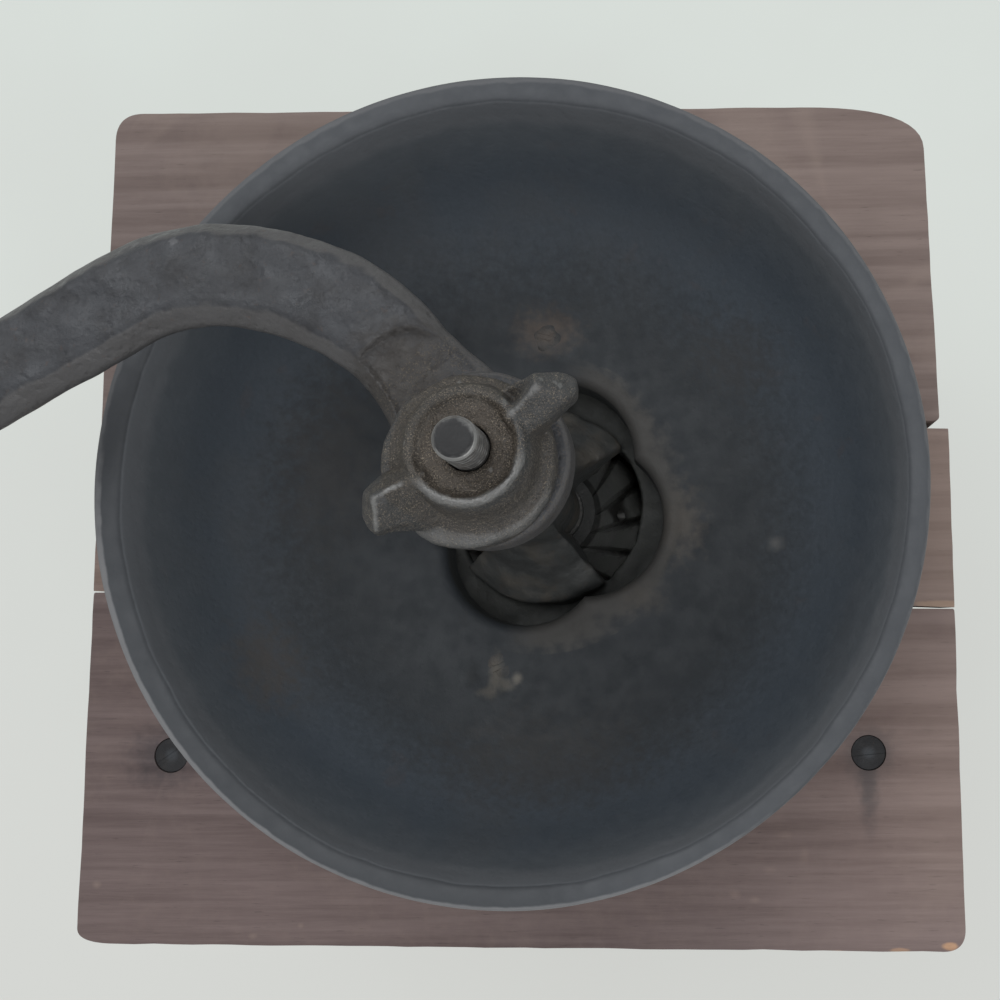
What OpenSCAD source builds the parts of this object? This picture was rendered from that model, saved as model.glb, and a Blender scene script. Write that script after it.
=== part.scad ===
// Box coffee grinder: a plank-topped wooden box with an open cast hopper, a hand crank above it,
// an ear nut that sets the grind, conical burrs under the top board and a drawer for the grounds.
// Millimetres. The origin is the centre of the underside of the base board, +Z is up and the
// drawer opens towards -Y.

/* [Box] */
// Width of the box over its side walls
box_w = 154; // [148:1:162]
// Depth of the box over its front and back
box_d = 154; // [146:1:160]
// Height of the box walls
wall_h = 93; // [88:1:105]
// Thickness of the box walls
wall_t = 10; // [8:0.5:12]
// Number of fingers at a back corner
back_fingers = 6; // [4:2:8]
// Number of fingers at an end of the front rail
rail_fingers = 3; // [3:2:5]
// Width of the base board
base_w = 184; // [176:1:196]
// Depth of the base board
base_d = 184; // [176:1:196]
// Thickness of the base board
base_t = 14; // [11:0.5:18]
// Sloped edge round the top of the base board
base_edge = 4; // [2:0.5:6]

/* [Top board] */
// Width of the top board along its grain
board_w = 180; // [174:1:190]
// Depth of the top board over its three planks
board_d = 177; // [172:1:188]
// Thickness of the planks
board_t = 13; // [11:0.5:16]
// How far the right end of the back plank stops short
back_short = 1.6; // [0:0.1:3]
// How far the right end of the back plank runs out of square
end_slant = 1.6; // [0:0.1:3]
// How far the back edge runs out of square
edge_slant = 1.3; // [0:0.1:3]
// Joint between the back and the middle plank, from the middle of the board
back_joint_y = 17.6; // [12:0.2:24]
// Open gap in that joint at its right end
back_joint_gap = 1.7; // [0.4:0.1:2.4]
// Joint between the middle and the front plank, from the middle of the board
front_joint_y = -18.4; // [-24:0.2:-12]
// How far that joint runs out of line over its length
front_joint_run = 4.7; // [0:0.1:6]
// Gap left in that joint
front_joint_gap = 0.3; // [0.2:0.1:1]
// Radius of the worn corners at the left and the front
corner_r = 4; // [2:0.5:6]
// Radius of the worn corner at the back right
worn_corner_r = 7; // [4:0.5:9]
// Board and base screws, distance of the front row from the middle of the board
board_screw_y = 50; // [42:1:60]
// Board screws, distance of the back row from the middle of the board
back_screw_y = 40; // [30:1:60]
// Length of the board and base screws
wood_screw_l = 30; // [24:1:40]
// Shank diameter of the board and base screws
wood_screw_d = 3.6; // [3:0.1:4.4]
// Head diameter of the board and base screws
wood_head_d = 7; // [6:0.2:8]

/* [Hopper] */
// Offset of the crank axis to the right of the middle of the box
axis_x = 5; // [-6:0.5:6]
// Offset of the crank axis to the back
axis_y = 1.6; // [-4:0.2:4]
// Outer radius of the rim
rim_r = 72.6; // [68:0.2:76]
// Height of the rim above the top board
rim_h = 41; // [36:0.5:50]
// Width of the flat lip at the rim
lip_w = 4.8; // [3:0.2:6.5]
// Thickness of the bowl's wall
bowl_t = 3.4; // [2.6:0.2:4.2]
// Thickness of the bowl's floor
floor_t = 4; // [3.2:0.2:5]
// Radius of the foot that stands on the board
foot_r = 41; // [39.5:0.5:44]
// Radius of each of the four lobes of the throat
lobe_r = 16; // [15:0.2:16.6]
// Distance of the lobes from the crank axis
lobe_off = 10; // [9:0.2:10.6]
// Radius of the round middle of the throat
throat_core_r = 16; // [15:0.2:18]
// Wall of the collar round the throat
collar_t = 2.8; // [2:0.2:3.4]
// Depth of the collar into the board
collar_h = 6; // [3:0.5:8]
// Direction of the first lobe
lobe_dir = -20; // [-30:1:-10]
// Distance of the two hopper screws from the crank axis
hopper_screw_r = 34.8; // [34.6:0.1:36]
// Head diameter of the hopper screws
hopper_head_d = 7.6; // [6.8:0.2:8]

/* [Grinding works] */
// Diameter of the shaft
shaft_d = 8; // [7:0.1:9]
// Running clearance round the shaft
shaft_gap = 0.06; // [0.04:0.01:0.1]
// Width over the flats of the shaft's square
square_w = 6.4; // [6.2:0.1:6.6]
// Outer diameter of the shaft's thread
thread_d = 6.35; // [5.8:0.05:6.4]
// Pitch of the shaft's thread
thread_pitch = 1.27; // [1:0.01:1.5]
// Radius of the flange under the board
shell_flange_r = 46; // [44.5:0.5:50]
// Thickness of that flange
shell_flange_t = 4; // [3:0.5:5]
// Height of the fixed burr under the board
shell_h = 26; // [24:0.5:28]
// Wall of the fixed burr
shell_wall = 5; // [4.4:0.2:5.4]
// Radius of the fixed burr's bore at the top
burr_top_r = 24; // [23.4:0.1:24.6]
// Radius of the fixed burr's bore at the bottom
burr_low_r = 21.2; // [21:0.1:22]
// Number of teeth in the fixed burr
shell_teeth = 20; // [12:2:24]
// Number of teeth on the turning burr
rotor_teeth = 14; // [8:2:16]
// Depth of the teeth
tooth_depth = 1.3; // [0.8:0.1:1.6]
// Radius of the turning burr at the bottom
rotor_low_r = 20; // [18:0.1:20]
// Radius of the turning burr at the top
rotor_top_r = 9.5; // [8:0.1:11]
// Height of the turning burr
rotor_h = 20; // [17:0.5:20.5]
// Thickness of the lower bridge
lower_bridge_t = 6; // [5:0.5:8]
// Width of the lower bridge
lower_bridge_w = 12; // [10:0.5:14]
// Distance of the lower bridge's bolts from the crank axis
bridge_bolt_r = 32.5; // [32:0.5:34]
// Outer radius of the bearing column at its foot
column_r = 6.8; // [6:0.1:7.6]
// Outer radius of the legs of the bearing column
leg_r = 20.8; // [19:0.1:21]
// Direction of the first leg
leg_dir = -97; // [-105:1:-90]
// Angle that each leg takes
leg_span = 90; // [60:1:100]

/* [Crank] */
// Height of the crank's underside above the top board
crank_h = 58; // [52:0.5:66]
// Radius of the crank's hub
hub_r = 13.6; // [13:0.1:16]
// Height of the crank's hub
hub_h = 8.1; // [7.4:0.1:10]
// Width of the arm
arm_w = 15; // [13:0.2:16]
// Thickness of the arm at its crown
arm_t = 6.6; // [5.6:0.1:7.2]
// Width of the sloped band along each side of the arm
arm_bevel = 2.6; // [1.6:0.1:3.4]
// Height of the arm's upright sides
arm_side_h = 3.6; // [2.6:0.1:4.2]
// How far the pad by the hub lies under the arm's crown
pad_drop = 1.4; // [0.8:0.1:1.8]
// Direction from the bend's centre at which the pad ends
pad_end = 41; // [30:1:60]
// Radius of the arm's bend at its centre line
bend_r = 34.9; // [30:0.1:40]
// How near the bend's centre line comes to the crank axis
bend_off = 5.7; // [4:0.1:5.8]
// Direction from the crank axis to the bend's centre
bend_dir = 187; // [180:1:194]
// Direction from the bend's centre at which the web leaves the arm's outer edge
web_from = 39; // [30:1:50]
// Direction from the crank axis at which the web meets the hub
web_to = 81; // [70:1:90]
// Angle that the straight part of the arm falls away
arm_fall = 29; // [15:1:40]
// Length of the straight part, up to the knob
arm_reach = 78; // [60:1:90]
// Radius of the eye at the end of the arm
eye_r = 9; // [8:0.1:11]
// Diameter of the knob's pin
pin_d = 6; // [5:0.1:7]
// Largest radius of the wooden knob
knob_r = 13.5; // [12:0.1:16]
// Height of the wooden knob
knob_h = 34; // [28:0.5:42]

/* [Ear nut] */
// Radius of the nut's flange
nut_r = 13.2; // [12:0.1:13.4]
// Height of the nut's cup
nut_h = 12.2; // [11:0.1:13]
// Radius of the cup's mouth
cup_r = 8; // [7:0.1:8.8]
// Length of an ear from the crank axis
ear_l = 18.4; // [16:0.1:20]
// Width of an ear
ear_t = 7.8; // [5:0.1:8.4]
// Direction of the first ear
ear_dir = 31; // [0:1:60]
// How far the shaft stands out of the cup
shaft_out = 5.9; // [4:0.1:8]

/* [Drawer] */
// Height of the drawer's opening
drawer_open_h = 46.5; // [40:0.5:50]
// Side clearance of the drawer
drawer_gap = 0.6; // [0.4:0.1:1]
// Clearance under the drawer
drawer_under = 0.3; // [0.2:0.1:0.5]
// Thickness of the drawer's front
front_t = 12; // [9:0.5:15]
// Thickness of the drawer's sides and back
drawer_side_t = 6; // [5:0.5:8]
// Height of the drawer's sides
drawer_side_h = 36; // [28:0.5:37]
// Thickness of the drawer's bottom
drawer_bottom_t = 3; // [2:0.5:4]
// Depth of the drawer behind its front
drawer_run = 118; // [90:1:120]
// Section of the guide strips over the drawer's sides
guide_s = 6.5; // [5:0.5:8]
// Largest radius of the drawer's knob
pull_r = 10.5; // [8:0.1:13]
// Length of the drawer's knob
pull_l = 19; // [14:0.5:26]

/* [Hidden] */
$fn = 72;

wood = [0.46, 0.37, 0.33];
pale_wood = [0.62, 0.50, 0.38];
iron = [0.26, 0.28, 0.31];
worn_iron = [0.42, 0.42, 0.42];
steel = [0.40, 0.38, 0.36];

fit = 0.03;          // hole over pin where a pin is fixed
rest = 0.3;          // gap between a piece that moves and its seat
one = 1;             // overrun of a cut past a face
hole_spare = 0.3;    // how much deeper a hole is than its screw or nail
head_rim = 0.4;      // upright rim of a screw's head
slot_w = 1;
slot_deep = 1.1;
screw_tip = 3;
nail_d = 1.8;
nail_head_t = 0.8;
nail_tip = 2;

// Heights
wall_z = base_t;
board_z = wall_z + wall_h;
top_z = board_z + board_t;
crank_z = top_z + crank_h;
hub_top = crank_z + hub_h;
nut_z = hub_top + rest;
mouth_z = nut_z + nut_h;
shaft_top = mouth_z + shaft_out;
inner_x = box_w / 2 - wall_t;
inner_y = box_d / 2 - wall_t;
rail_h = wall_h - drawer_open_h;
rail_z = wall_z + drawer_open_h;

// Board and base screws sit over the middle of the side walls
board_screw_x = box_w / 2 - wall_t / 2;
board_screws_at = [for (x = [-1, 1], y = [-board_screw_y, 0, back_screw_y]) [x * board_screw_x, y]];
base_screws_at = [for (x = [-1, 1], y = [-1, 1]) [x * board_screw_x, y * board_screw_y]];
head_sink = 0.7;

// Hopper
throat_r = lobe_r + lobe_off;
collar_r = throat_r + collar_t;
board_hole_r = collar_r + 0.5;
bowl_in_r = rim_r - lip_w;
bowl_mid_r = 30;
hopper_screw_dirs = [lobe_dir - 84, lobe_dir + 108];
hopper_screw_l = board_t + floor_t - 2;
hopper_screw_d = 3.4;
hopper_head_z = top_z + floor_t - 0.6;

// Grinding works
shell_z = board_z - shell_h;
cup_out_top = burr_top_r + shell_wall;
cup_out_low = burr_low_r + shell_wall;
shell_screw_r = shell_flange_r - 5.5;
shell_screw_d = 3.4;
shell_head_d = 6.4;
shell_screw_l = board_t + shell_flange_t - 5;
shell_screw_dirs = [5, 140, 220];
lug_l = bridge_bolt_r + 5;
lug_in = burr_top_r - 1;
bolt_d = 4;
bolt_l = 10;         // how far the bridge's bolts reach into the lugs
bridge_z = shell_z - lower_bridge_t;
lift = thread_pitch;
rotor_z = shell_z + lift + 0.8;
rotor_top = rotor_z + rotor_h;
rotor_hub_h = 3;
rotor_hub_t = 3;
rotor_pin_d = 3;
rotor_pin_l = rotor_low_r + 2;
rotor_pin_z = rotor_z + rotor_h / 2;
boss_h = 5;
boss_r = 9;
boss_z = bridge_z - boss_h;
shaft_z = boss_z - 4;
column_foot_t = 3;
column_foot_r = board_hole_r - 0.8;
column_low = rotor_top + rotor_hub_h + lift + 0.6;
column_top = crank_z - rest;
column_screw_dirs = [lobe_dir + 45, lobe_dir + 225];
column_screw_r = (leg_r + column_foot_r) / 2 + 0.2;
column_screw_d = 2.4;
column_head_d = 4.6;
column_screw_l = 10;
column_head_z = board_z + column_foot_t - 0.2;

// Crank
bend = [(bend_r + bend_off) * cos(bend_dir), (bend_r + bend_off) * sin(bend_dir)];
bend_start = bend_dir - 180;
bend_end = 90 + arm_fall;
arm_turn = [bend[0] + bend_r * cos(bend_end), bend[1] + bend_r * sin(bend_end)];
arm_way = [-cos(arm_fall), -sin(arm_fall)];
eye = [arm_turn[0] + arm_reach * arm_way[0], arm_turn[1] + arm_reach * arm_way[1]];
arm_top = crank_z + arm_t;
arm_lap = 0.5;       // how far the straight part starts back in the bend
web_lap = 0.6;       // how far the web's corners lie inside the arm and the hub
web_drop = 0.3;      // how far the web lies under the pad
draft = 0.05;        // how much slimmer the straight part is all round
square_gap = 0.12;   // clearance of the crank on the shaft's flats
corner_gap = 0.15;   // clearance at the square's rounded corners
knob_z = arm_top + 1 + 2 * rest;
pin_head_h = 2.4;

// Drawer
drawer_z = wall_z + drawer_under;
front_y = -box_d / 2;
drawer_w = 2 * inner_x - 2 * drawer_gap;
drawer_x = drawer_w / 2;
drawer_front_h = drawer_open_h - 2 * drawer_under;
drawer_back_y = front_y + front_t + drawer_run;
bottom_z = drawer_z + 3;
groove = 3;
guide_z = drawer_z + drawer_side_h + 0.5;
guide_y = front_y + front_t + 2;
pull_z = drawer_z + drawer_front_h / 2;

module at_axis() {
    translate([axis_x, axis_y, 0]) children();
}

module ring_of(r, dirs, z) {
    for (a = dirs) rotate([0, 0, a]) translate([r, 0, z]) children();
}

// A slotted screw with a sunk head, its head's top at z = 0, pointing down
module sunk_screw(d, head_d, l, turn) {
    cone = (head_d - d) / 2;
    difference() {
        rotate_extrude() polygon([[0, -l], [0.4, -l], [d / 2, screw_tip - l],
            [d / 2, -head_rim - cone], [head_d / 2, -head_rim], [head_d / 2, 0], [0, 0]]);
        rotate([0, 0, turn]) translate([-head_d, -slot_w / 2, -slot_deep])
            cube([2 * head_d, slot_w, slot_deep + one]);
    }
}

module sunk_hole(d, head_d, l, above) {
    cone = (head_d - d) / 2;
    rotate_extrude() polygon([[0, -l - hole_spare], [d / 2 + fit, -l - hole_spare],
        [d / 2 + fit, -head_rim - cone], [head_d / 2 + fit, -head_rim],
        [head_d / 2 + fit, above], [0, above]]);
}

// A nail along +X with its head's face at x = 0
module nail(l, head_r) {
    rotate([0, 90, 0]) rotate_extrude($fn = 24) polygon([[0, 0], [head_r, 0],
        [head_r, nail_head_t], [nail_d / 2, nail_head_t], [nail_d / 2, l - nail_tip],
        [0.2, l], [0, l]]);
}

module nail_hole(l, head_r) {
    rotate([0, 90, 0]) rotate_extrude($fn = 24) polygon([[0, -one], [head_r + fit, -one],
        [head_r + fit, nail_head_t], [nail_d / 2 + fit, nail_head_t],
        [nail_d / 2 + fit, l + hole_spare], [0, l + hole_spare]]);
}

// The fingers of one kind at both ends of a front or back board
module fingers(y0, z0, h, n, odd) {
    step = h / n;
    for (i = [odd:2:n - 1], side = [-1, 1])
        translate([side * (inner_x + wall_t / 2) - wall_t / 2, y0, z0 + i * step])
            cube([wall_t, wall_t, step]);
}

module back_finger_set(odd) {
    fingers(inner_y, wall_z, wall_h, back_fingers, odd);
}

module rail_finger_set(odd) {
    fingers(-inner_y - wall_t, rail_z, rail_h, rail_fingers, odd);
}

corner_nail_l = 24;
corner_head_r = 1.7;
thin_head_r = 1.5;
corner_nails_at = concat(
    [for (i = [0:2:back_fingers - 1])
        [inner_y + wall_t / 2, wall_z + (i + 0.5) * wall_h / back_fingers]],
    [for (i = [0:2:rail_fingers - 1])
        [-inner_y - wall_t / 2, rail_z + (i + 0.5) * rail_h / rail_fingers]]);

module each_corner_nail() {
    for (p = corner_nails_at, side = [0, 1])
        mirror([side, 0, 0]) translate([box_w / 2, p[0], p[1]]) mirror([1, 0, 0]) children();
}

guide_l = inner_y - guide_y - 1;
guide_nail_l = guide_s + wall_t - 3;
guide_nails_at = [for (f = [0.12, 0.5, 0.88]) guide_y + f * guide_l];

module each_guide_nail() {
    for (y = guide_nails_at, side = [0, 1])
        mirror([side, 0, 0]) translate([-inner_x + guide_s, y, guide_z + guide_s / 2])
            mirror([1, 0, 0]) children();
}

// Box

module base_board() {
    color(wood) difference() {
        intersection() {
            rotate([90, 0, 0]) translate([0, 0, -base_d / 2 - one])
                linear_extrude(base_d + 2 * one) base_side(base_w);
            rotate([90, 0, 90]) translate([0, 0, -base_w / 2 - one])
                linear_extrude(base_w + 2 * one) base_side(base_d);
        }
        for (p = base_screws_at) translate([p[0], p[1], head_sink]) mirror([0, 0, 1])
            sunk_hole(wood_screw_d, wood_head_d, wood_screw_l, one);
    }
}

module base_side(w) {
    polygon([[-w / 2, 0], [w / 2, 0], [w / 2, base_t - base_edge],
        [w / 2 - base_edge, base_t], [-w / 2 + base_edge, base_t], [-w / 2, base_t - base_edge]]);
}

module base_screws() {
    color(steel) for (p = base_screws_at) translate([p[0], p[1], head_sink])
        mirror([0, 0, 1]) sunk_screw(wood_screw_d, wood_head_d, wood_screw_l, 20);
}

module side_wall(side) {
    difference() {
        translate([side * (inner_x + wall_t / 2) - wall_t / 2, -box_d / 2, wall_z])
            cube([wall_t, box_d, wall_h]);
        back_finger_set(1);
        rail_finger_set(1);
        each_corner_nail() nail_hole(corner_nail_l, corner_head_r);
        each_guide_nail() nail_hole(guide_nail_l, thin_head_r);
        for (p = base_screws_at) translate([p[0], p[1], head_sink]) mirror([0, 0, 1])
            sunk_hole(wood_screw_d, wood_head_d, wood_screw_l, one);
        for (p = board_screws_at) translate([p[0], p[1], top_z - head_sink])
            sunk_hole(wood_screw_d, wood_head_d, wood_screw_l, one);
    }
}

module side_wall_left() {
    color(wood) side_wall(-1);
}

module side_wall_right() {
    color(wood) side_wall(1);
}

module back_wall() {
    color(wood) difference() {
        union() {
            translate([-inner_x, inner_y, wall_z]) cube([2 * inner_x, wall_t, wall_h]);
            back_finger_set(1);
        }
        each_corner_nail() nail_hole(corner_nail_l, corner_head_r);
    }
}

module front_rail() {
    color(wood) difference() {
        union() {
            translate([-inner_x, -box_d / 2, rail_z]) cube([2 * inner_x, wall_t, rail_h]);
            rail_finger_set(1);
        }
        each_corner_nail() nail_hole(corner_nail_l, corner_head_r);
    }
}

module corner_nails() {
    color(steel) each_corner_nail() nail(corner_nail_l, corner_head_r);
}

module guide(side) {
    difference() {
        translate([side * (inner_x - guide_s / 2) - guide_s / 2, guide_y, guide_z])
            cube([guide_s, guide_l, guide_s]);
        each_guide_nail() nail_hole(guide_nail_l, thin_head_r);
    }
}

module guide_left() {
    color(pale_wood) guide(-1);
}

module guide_right() {
    color(pale_wood) guide(1);
}

module guide_nails() {
    color(steel) each_guide_nail() nail(guide_nail_l, thin_head_r);
}

// Top board

module corner_cut(x, y, sx, sy, r) {
    translate([x - sx * r, y - sy * r]) difference() {
        translate([sx > 0 ? 0 : -r - 3, sy > 0 ? 0 : -r - 3]) square(r + 3);
        circle(r = r);
    }
}

module board_cuts() {
    at_axis() translate([0, 0, board_z - one]) cylinder(h = board_t + 2 * one, r = board_hole_r);
    for (p = board_screws_at) translate([p[0], p[1], top_z - head_sink])
        sunk_hole(wood_screw_d, wood_head_d, wood_screw_l, one);
    at_axis() ring_of(hopper_screw_r, hopper_screw_dirs, hopper_head_z)
        sunk_hole(hopper_screw_d, hopper_head_d, hopper_screw_l, one);
    at_axis() ring_of(shell_screw_r, shell_screw_dirs, board_z - shell_flange_t) mirror([0, 0, 1])
        sunk_hole(shell_screw_d, shell_head_d, shell_screw_l, one);
}

module top_plank_back() {
    color(wood) difference() {
        translate([0, 0, board_z]) linear_extrude(board_t) difference() {
            polygon([[-board_w / 2, back_joint_y + 0.4],
                [board_w / 2 - back_short, back_joint_y + back_joint_gap / 2],
                [board_w / 2 - back_short - end_slant, board_d / 2 - edge_slant],
                [-board_w / 2, board_d / 2 + edge_slant]]);
            corner_cut(-board_w / 2, board_d / 2 + edge_slant, -1, 1, corner_r);
            corner_cut(board_w / 2 - back_short - end_slant, board_d / 2 - edge_slant, 1, 1,
                worn_corner_r);
        }
        board_cuts();
    }
}

// The middle plank is narrower than the hole for the hopper, which parts it in two
module middle_plank(side) {
    intersection() {
        difference() {
            translate([0, 0, board_z]) linear_extrude(board_t)
                polygon([[-board_w / 2, front_joint_y + front_joint_run / 2 + front_joint_gap / 2],
                    [board_w / 2, front_joint_y - front_joint_run / 2 + front_joint_gap / 2],
                    [board_w / 2, back_joint_y - back_joint_gap / 2],
                    [-board_w / 2, back_joint_y]]);
            board_cuts();
        }
        translate([axis_x + (side < 0 ? -board_w : 0), -board_d / 2, board_z])
            cube([board_w, board_d, board_t]);
    }
}

module top_plank_middle_left() {
    color(wood) middle_plank(-1);
}

module top_plank_middle_right() {
    color(wood) middle_plank(1);
}

module top_plank_front() {
    color(wood) difference() {
        translate([0, 0, board_z]) linear_extrude(board_t) difference() {
            polygon([[-board_w / 2, -board_d / 2], [board_w / 2, -board_d / 2],
                [board_w / 2, front_joint_y - front_joint_run / 2 - front_joint_gap / 2],
                [-board_w / 2, front_joint_y + front_joint_run / 2 - front_joint_gap / 2]]);
            corner_cut(-board_w / 2, -board_d / 2, -1, -1, corner_r);
            corner_cut(board_w / 2, -board_d / 2, 1, -1, corner_r);
        }
        board_cuts();
    }
}

module board_screws() {
    color(steel) for (i = [0:len(board_screws_at) - 1])
        translate([board_screws_at[i][0], board_screws_at[i][1], top_z - head_sink])
            sunk_screw(wood_screw_d, wood_head_d, wood_screw_l, 35 + 50 * i);
}

// Hopper

// Section of the bowl: inside and outside are quarter ellipses with one centre
bowl_a = bowl_in_r - bowl_mid_r;
bowl_b = rim_h - floor_t;
bowl_steps = 16;
bowl_stop = 82;
lip_t = 3.6;

function bowl_in(t) = [bowl_mid_r + bowl_a * sin(t), top_z + rim_h - bowl_b * cos(t)];
function bowl_out(t) = [bowl_mid_r + (bowl_a + bowl_t) * sin(t),
    top_z + rim_h - (bowl_b + bowl_t) * cos(t)];

module bowl_section() {
    foot_t = asin((foot_r - bowl_mid_r) / (bowl_a + bowl_t));
    polygon(concat(
        [[throat_core_r * 0.75, top_z], [throat_core_r * 0.75, top_z + floor_t * 0.8],
            [throat_core_r * 1.25, top_z + floor_t * 0.9]],
        [for (i = [0:bowl_steps]) bowl_in(i * bowl_stop / bowl_steps)],
        [[bowl_in_r, top_z + rim_h - 1.1], [bowl_in_r + 0.5, top_z + rim_h - 0.5],
            [rim_r - 0.5, top_z + rim_h], [rim_r, top_z + rim_h - 0.6],
            [rim_r, top_z + rim_h - lip_t]],
        [for (i = [0:bowl_steps]) bowl_out(bowl_stop - i * (bowl_stop - foot_t) / bowl_steps)],
        [[foot_r, top_z]]));
}

module throat_2d() {
    circle(r = throat_core_r);
    for (i = [0:3]) rotate(lobe_dir + 90 * i) translate([lobe_off, 0]) circle(r = lobe_r);
}

module hopper_bowl() {
    color(iron) at_axis() difference() {
        union() {
            rotate_extrude($fn = 144) bowl_section();
            translate([0, 0, top_z - collar_h]) cylinder(h = collar_h + 1, r = collar_r);
        }
        translate([0, 0, top_z - collar_h - one]) linear_extrude(collar_h + floor_t + 2 * one)
            throat_2d();
        ring_of(hopper_screw_r, hopper_screw_dirs, hopper_head_z)
            sunk_hole(hopper_screw_d, hopper_head_d, hopper_screw_l, 6);
    }
}

module hopper_screws() {
    color(steel) at_axis() ring_of(hopper_screw_r, hopper_screw_dirs, hopper_head_z)
        sunk_screw(hopper_screw_d, hopper_head_d, hopper_screw_l, 25);
}

// Grinding works

// Straight grooves down a cone, from radius r1 at z1 to r2 at z2, with their middle line on it
module cone_grooves(n, r1, z1, r2, z2, depth, lean) {
    slope = atan2(r2 - r1, z2 - z1);
    l = norm([r2 - r1, z2 - z1]);
    for (i = [0:n - 1]) rotate([0, 0, i * 360 / n]) translate([r1, 0, z1])
        rotate([0, slope, 0]) rotate([lean, 0, 0]) translate([0, 0, -4])
            rotate([0, 0, 45]) translate([-depth / sqrt(2), -depth / sqrt(2), 0])
                cube([depth * sqrt(2), depth * sqrt(2), l + 8]);
}

module fixed_burr() {
    color(iron) at_axis() difference() {
        union() {
            translate([0, 0, board_z - shell_flange_t])
                cylinder(h = shell_flange_t, r = shell_flange_r, $fn = 96);
            translate([0, 0, shell_z]) cylinder(h = shell_h, r1 = cup_out_low, r2 = cup_out_top);
            for (x = [-lug_l, lug_in]) translate([x, -lower_bridge_w / 2, shell_z])
                cube([lug_l - lug_in, lower_bridge_w, shell_h - 1]);
        }
        translate([0, 0, shell_z - 0.01])
            cylinder(h = shell_h + 0.02, r1 = burr_low_r, r2 = burr_top_r);
        cone_grooves(shell_teeth, burr_low_r, shell_z, burr_top_r, board_z, tooth_depth, 0);
        ring_of(shell_screw_r, shell_screw_dirs, board_z - shell_flange_t) mirror([0, 0, 1])
            sunk_hole(shell_screw_d, shell_head_d, shell_screw_l, one);
        ring_of(column_screw_r, column_screw_dirs, column_head_z)
            sunk_hole(column_screw_d, column_head_d, column_screw_l, one);
        ring_of(bridge_bolt_r, [0, 180], shell_z - one) cylinder(h = bolt_l + 2 * one, r = bolt_d / 2 + fit);
    }
}

module fixed_burr_screws() {
    color(steel) at_axis() ring_of(shell_screw_r, shell_screw_dirs, board_z - shell_flange_t)
        mirror([0, 0, 1]) sunk_screw(shell_screw_d, shell_head_d, shell_screw_l, 70);
}

module leg_section() {
    polygon([[shaft_d / 2 + 1.2, column_low], [column_r + 4, column_low],
        [leg_r - 4, board_z + column_foot_t - 1], [leg_r, board_z + column_foot_t - 1],
        [leg_r, top_z - 4.5], [leg_r - 1.2, top_z - 3.2], [leg_r - 6, top_z + 1.5],
        [column_r + 3, top_z + 9], [column_r, top_z + 17], [shaft_d / 2 + 1.2, top_z + 17]]);
}

module bearing_column() {
    color(iron) at_axis() difference() {
        union() {
            translate([0, 0, column_low])
                cylinder(h = column_top - column_low, r1 = column_r, r2 = column_r - 0.6);
            for (i = [0, 1]) rotate([0, 0, leg_dir + 180 * i - leg_span / 2])
                rotate_extrude(angle = leg_span, $fn = 96) leg_section();
            difference() {
                translate([0, 0, board_z]) cylinder(h = column_foot_t, r = column_foot_r);
                translate([0, 0, board_z - one])
                    cylinder(h = column_foot_t + 2 * one, r = leg_r - 0.4);
            }
        }
        translate([0, 0, column_low - one])
            cylinder(h = column_top - column_low + 2 * one, r = shaft_d / 2 + shaft_gap);
        ring_of(column_screw_r, column_screw_dirs, column_head_z)
            sunk_hole(column_screw_d, column_head_d, column_screw_l, one);
    }
}

module column_screws() {
    color(steel) at_axis()
        ring_of(column_screw_r, column_screw_dirs, column_head_z)
            sunk_screw(column_screw_d, column_head_d, column_screw_l, 10);
}

module lower_bridge() {
    color(iron) at_axis() difference() {
        union() {
            translate([-lug_l, -lower_bridge_w / 2, bridge_z])
                cube([2 * lug_l, lower_bridge_w, lower_bridge_t]);
            translate([0, 0, boss_z]) cylinder(h = shell_z - boss_z, r = boss_r);
        }
        translate([0, 0, boss_z - one])
            cylinder(h = shell_z - boss_z + 2 * one, r = shaft_d / 2 + shaft_gap);
        ring_of(bridge_bolt_r, [0, 180], bridge_z - one)
            cylinder(h = lower_bridge_t + 2 * one, r = bolt_d / 2 + fit);
    }
}

module lower_bridge_bolts() {
    color(steel) at_axis() ring_of(bridge_bolt_r, [0, 180], bridge_z) {
        cylinder(h = lower_bridge_t + bolt_l, r = bolt_d / 2);
        translate([0, 0, -3]) cylinder(h = 3, r = bolt_d, $fn = 6);
    }
}

module thread_section(z0, z1) {
    turns = floor((z1 - z0) / thread_pitch);
    major = thread_d / 2;
    minor = major - 0.6 * thread_pitch / 1.27;
    polygon(concat([[0, z0], [major, z0]],
        [for (i = [0:turns - 1], k = [0:2])
            [k == 1 ? minor : major, z0 + (i + [0.1, 0.5, 0.9][k]) * thread_pitch]],
        [[major, z1 - 0.5], [major - 0.5, z1], [0, z1]]));
}

square_low = crank_z - lift - 1;
thread_low = hub_top - 0.2;
core_r = thread_d / 2 - 1;

module square_2d(w, r) {
    intersection() {
        square(w, center = true);
        circle(r = r);
    }
}

module shaft() {
    color(worn_iron) at_axis() difference() {
        union() {
            translate([0, 0, shaft_z]) cylinder(h = square_low - shaft_z, r = shaft_d / 2);
            translate([0, 0, square_low]) linear_extrude(thread_low - square_low)
                square_2d(square_w, shaft_d / 2);
            rotate_extrude() thread_section(thread_low, shaft_top);
            translate([0, 0, shaft_z + one]) cylinder(h = shaft_top - shaft_z - 2 * one, r = core_r);
        }
        translate([0, 0, rotor_pin_z]) rotate([0, 90, 0]) translate([0, 0, -rotor_low_r])
            cylinder(h = 2 * rotor_low_r, r = rotor_pin_d / 2 + fit);
    }
}

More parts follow.
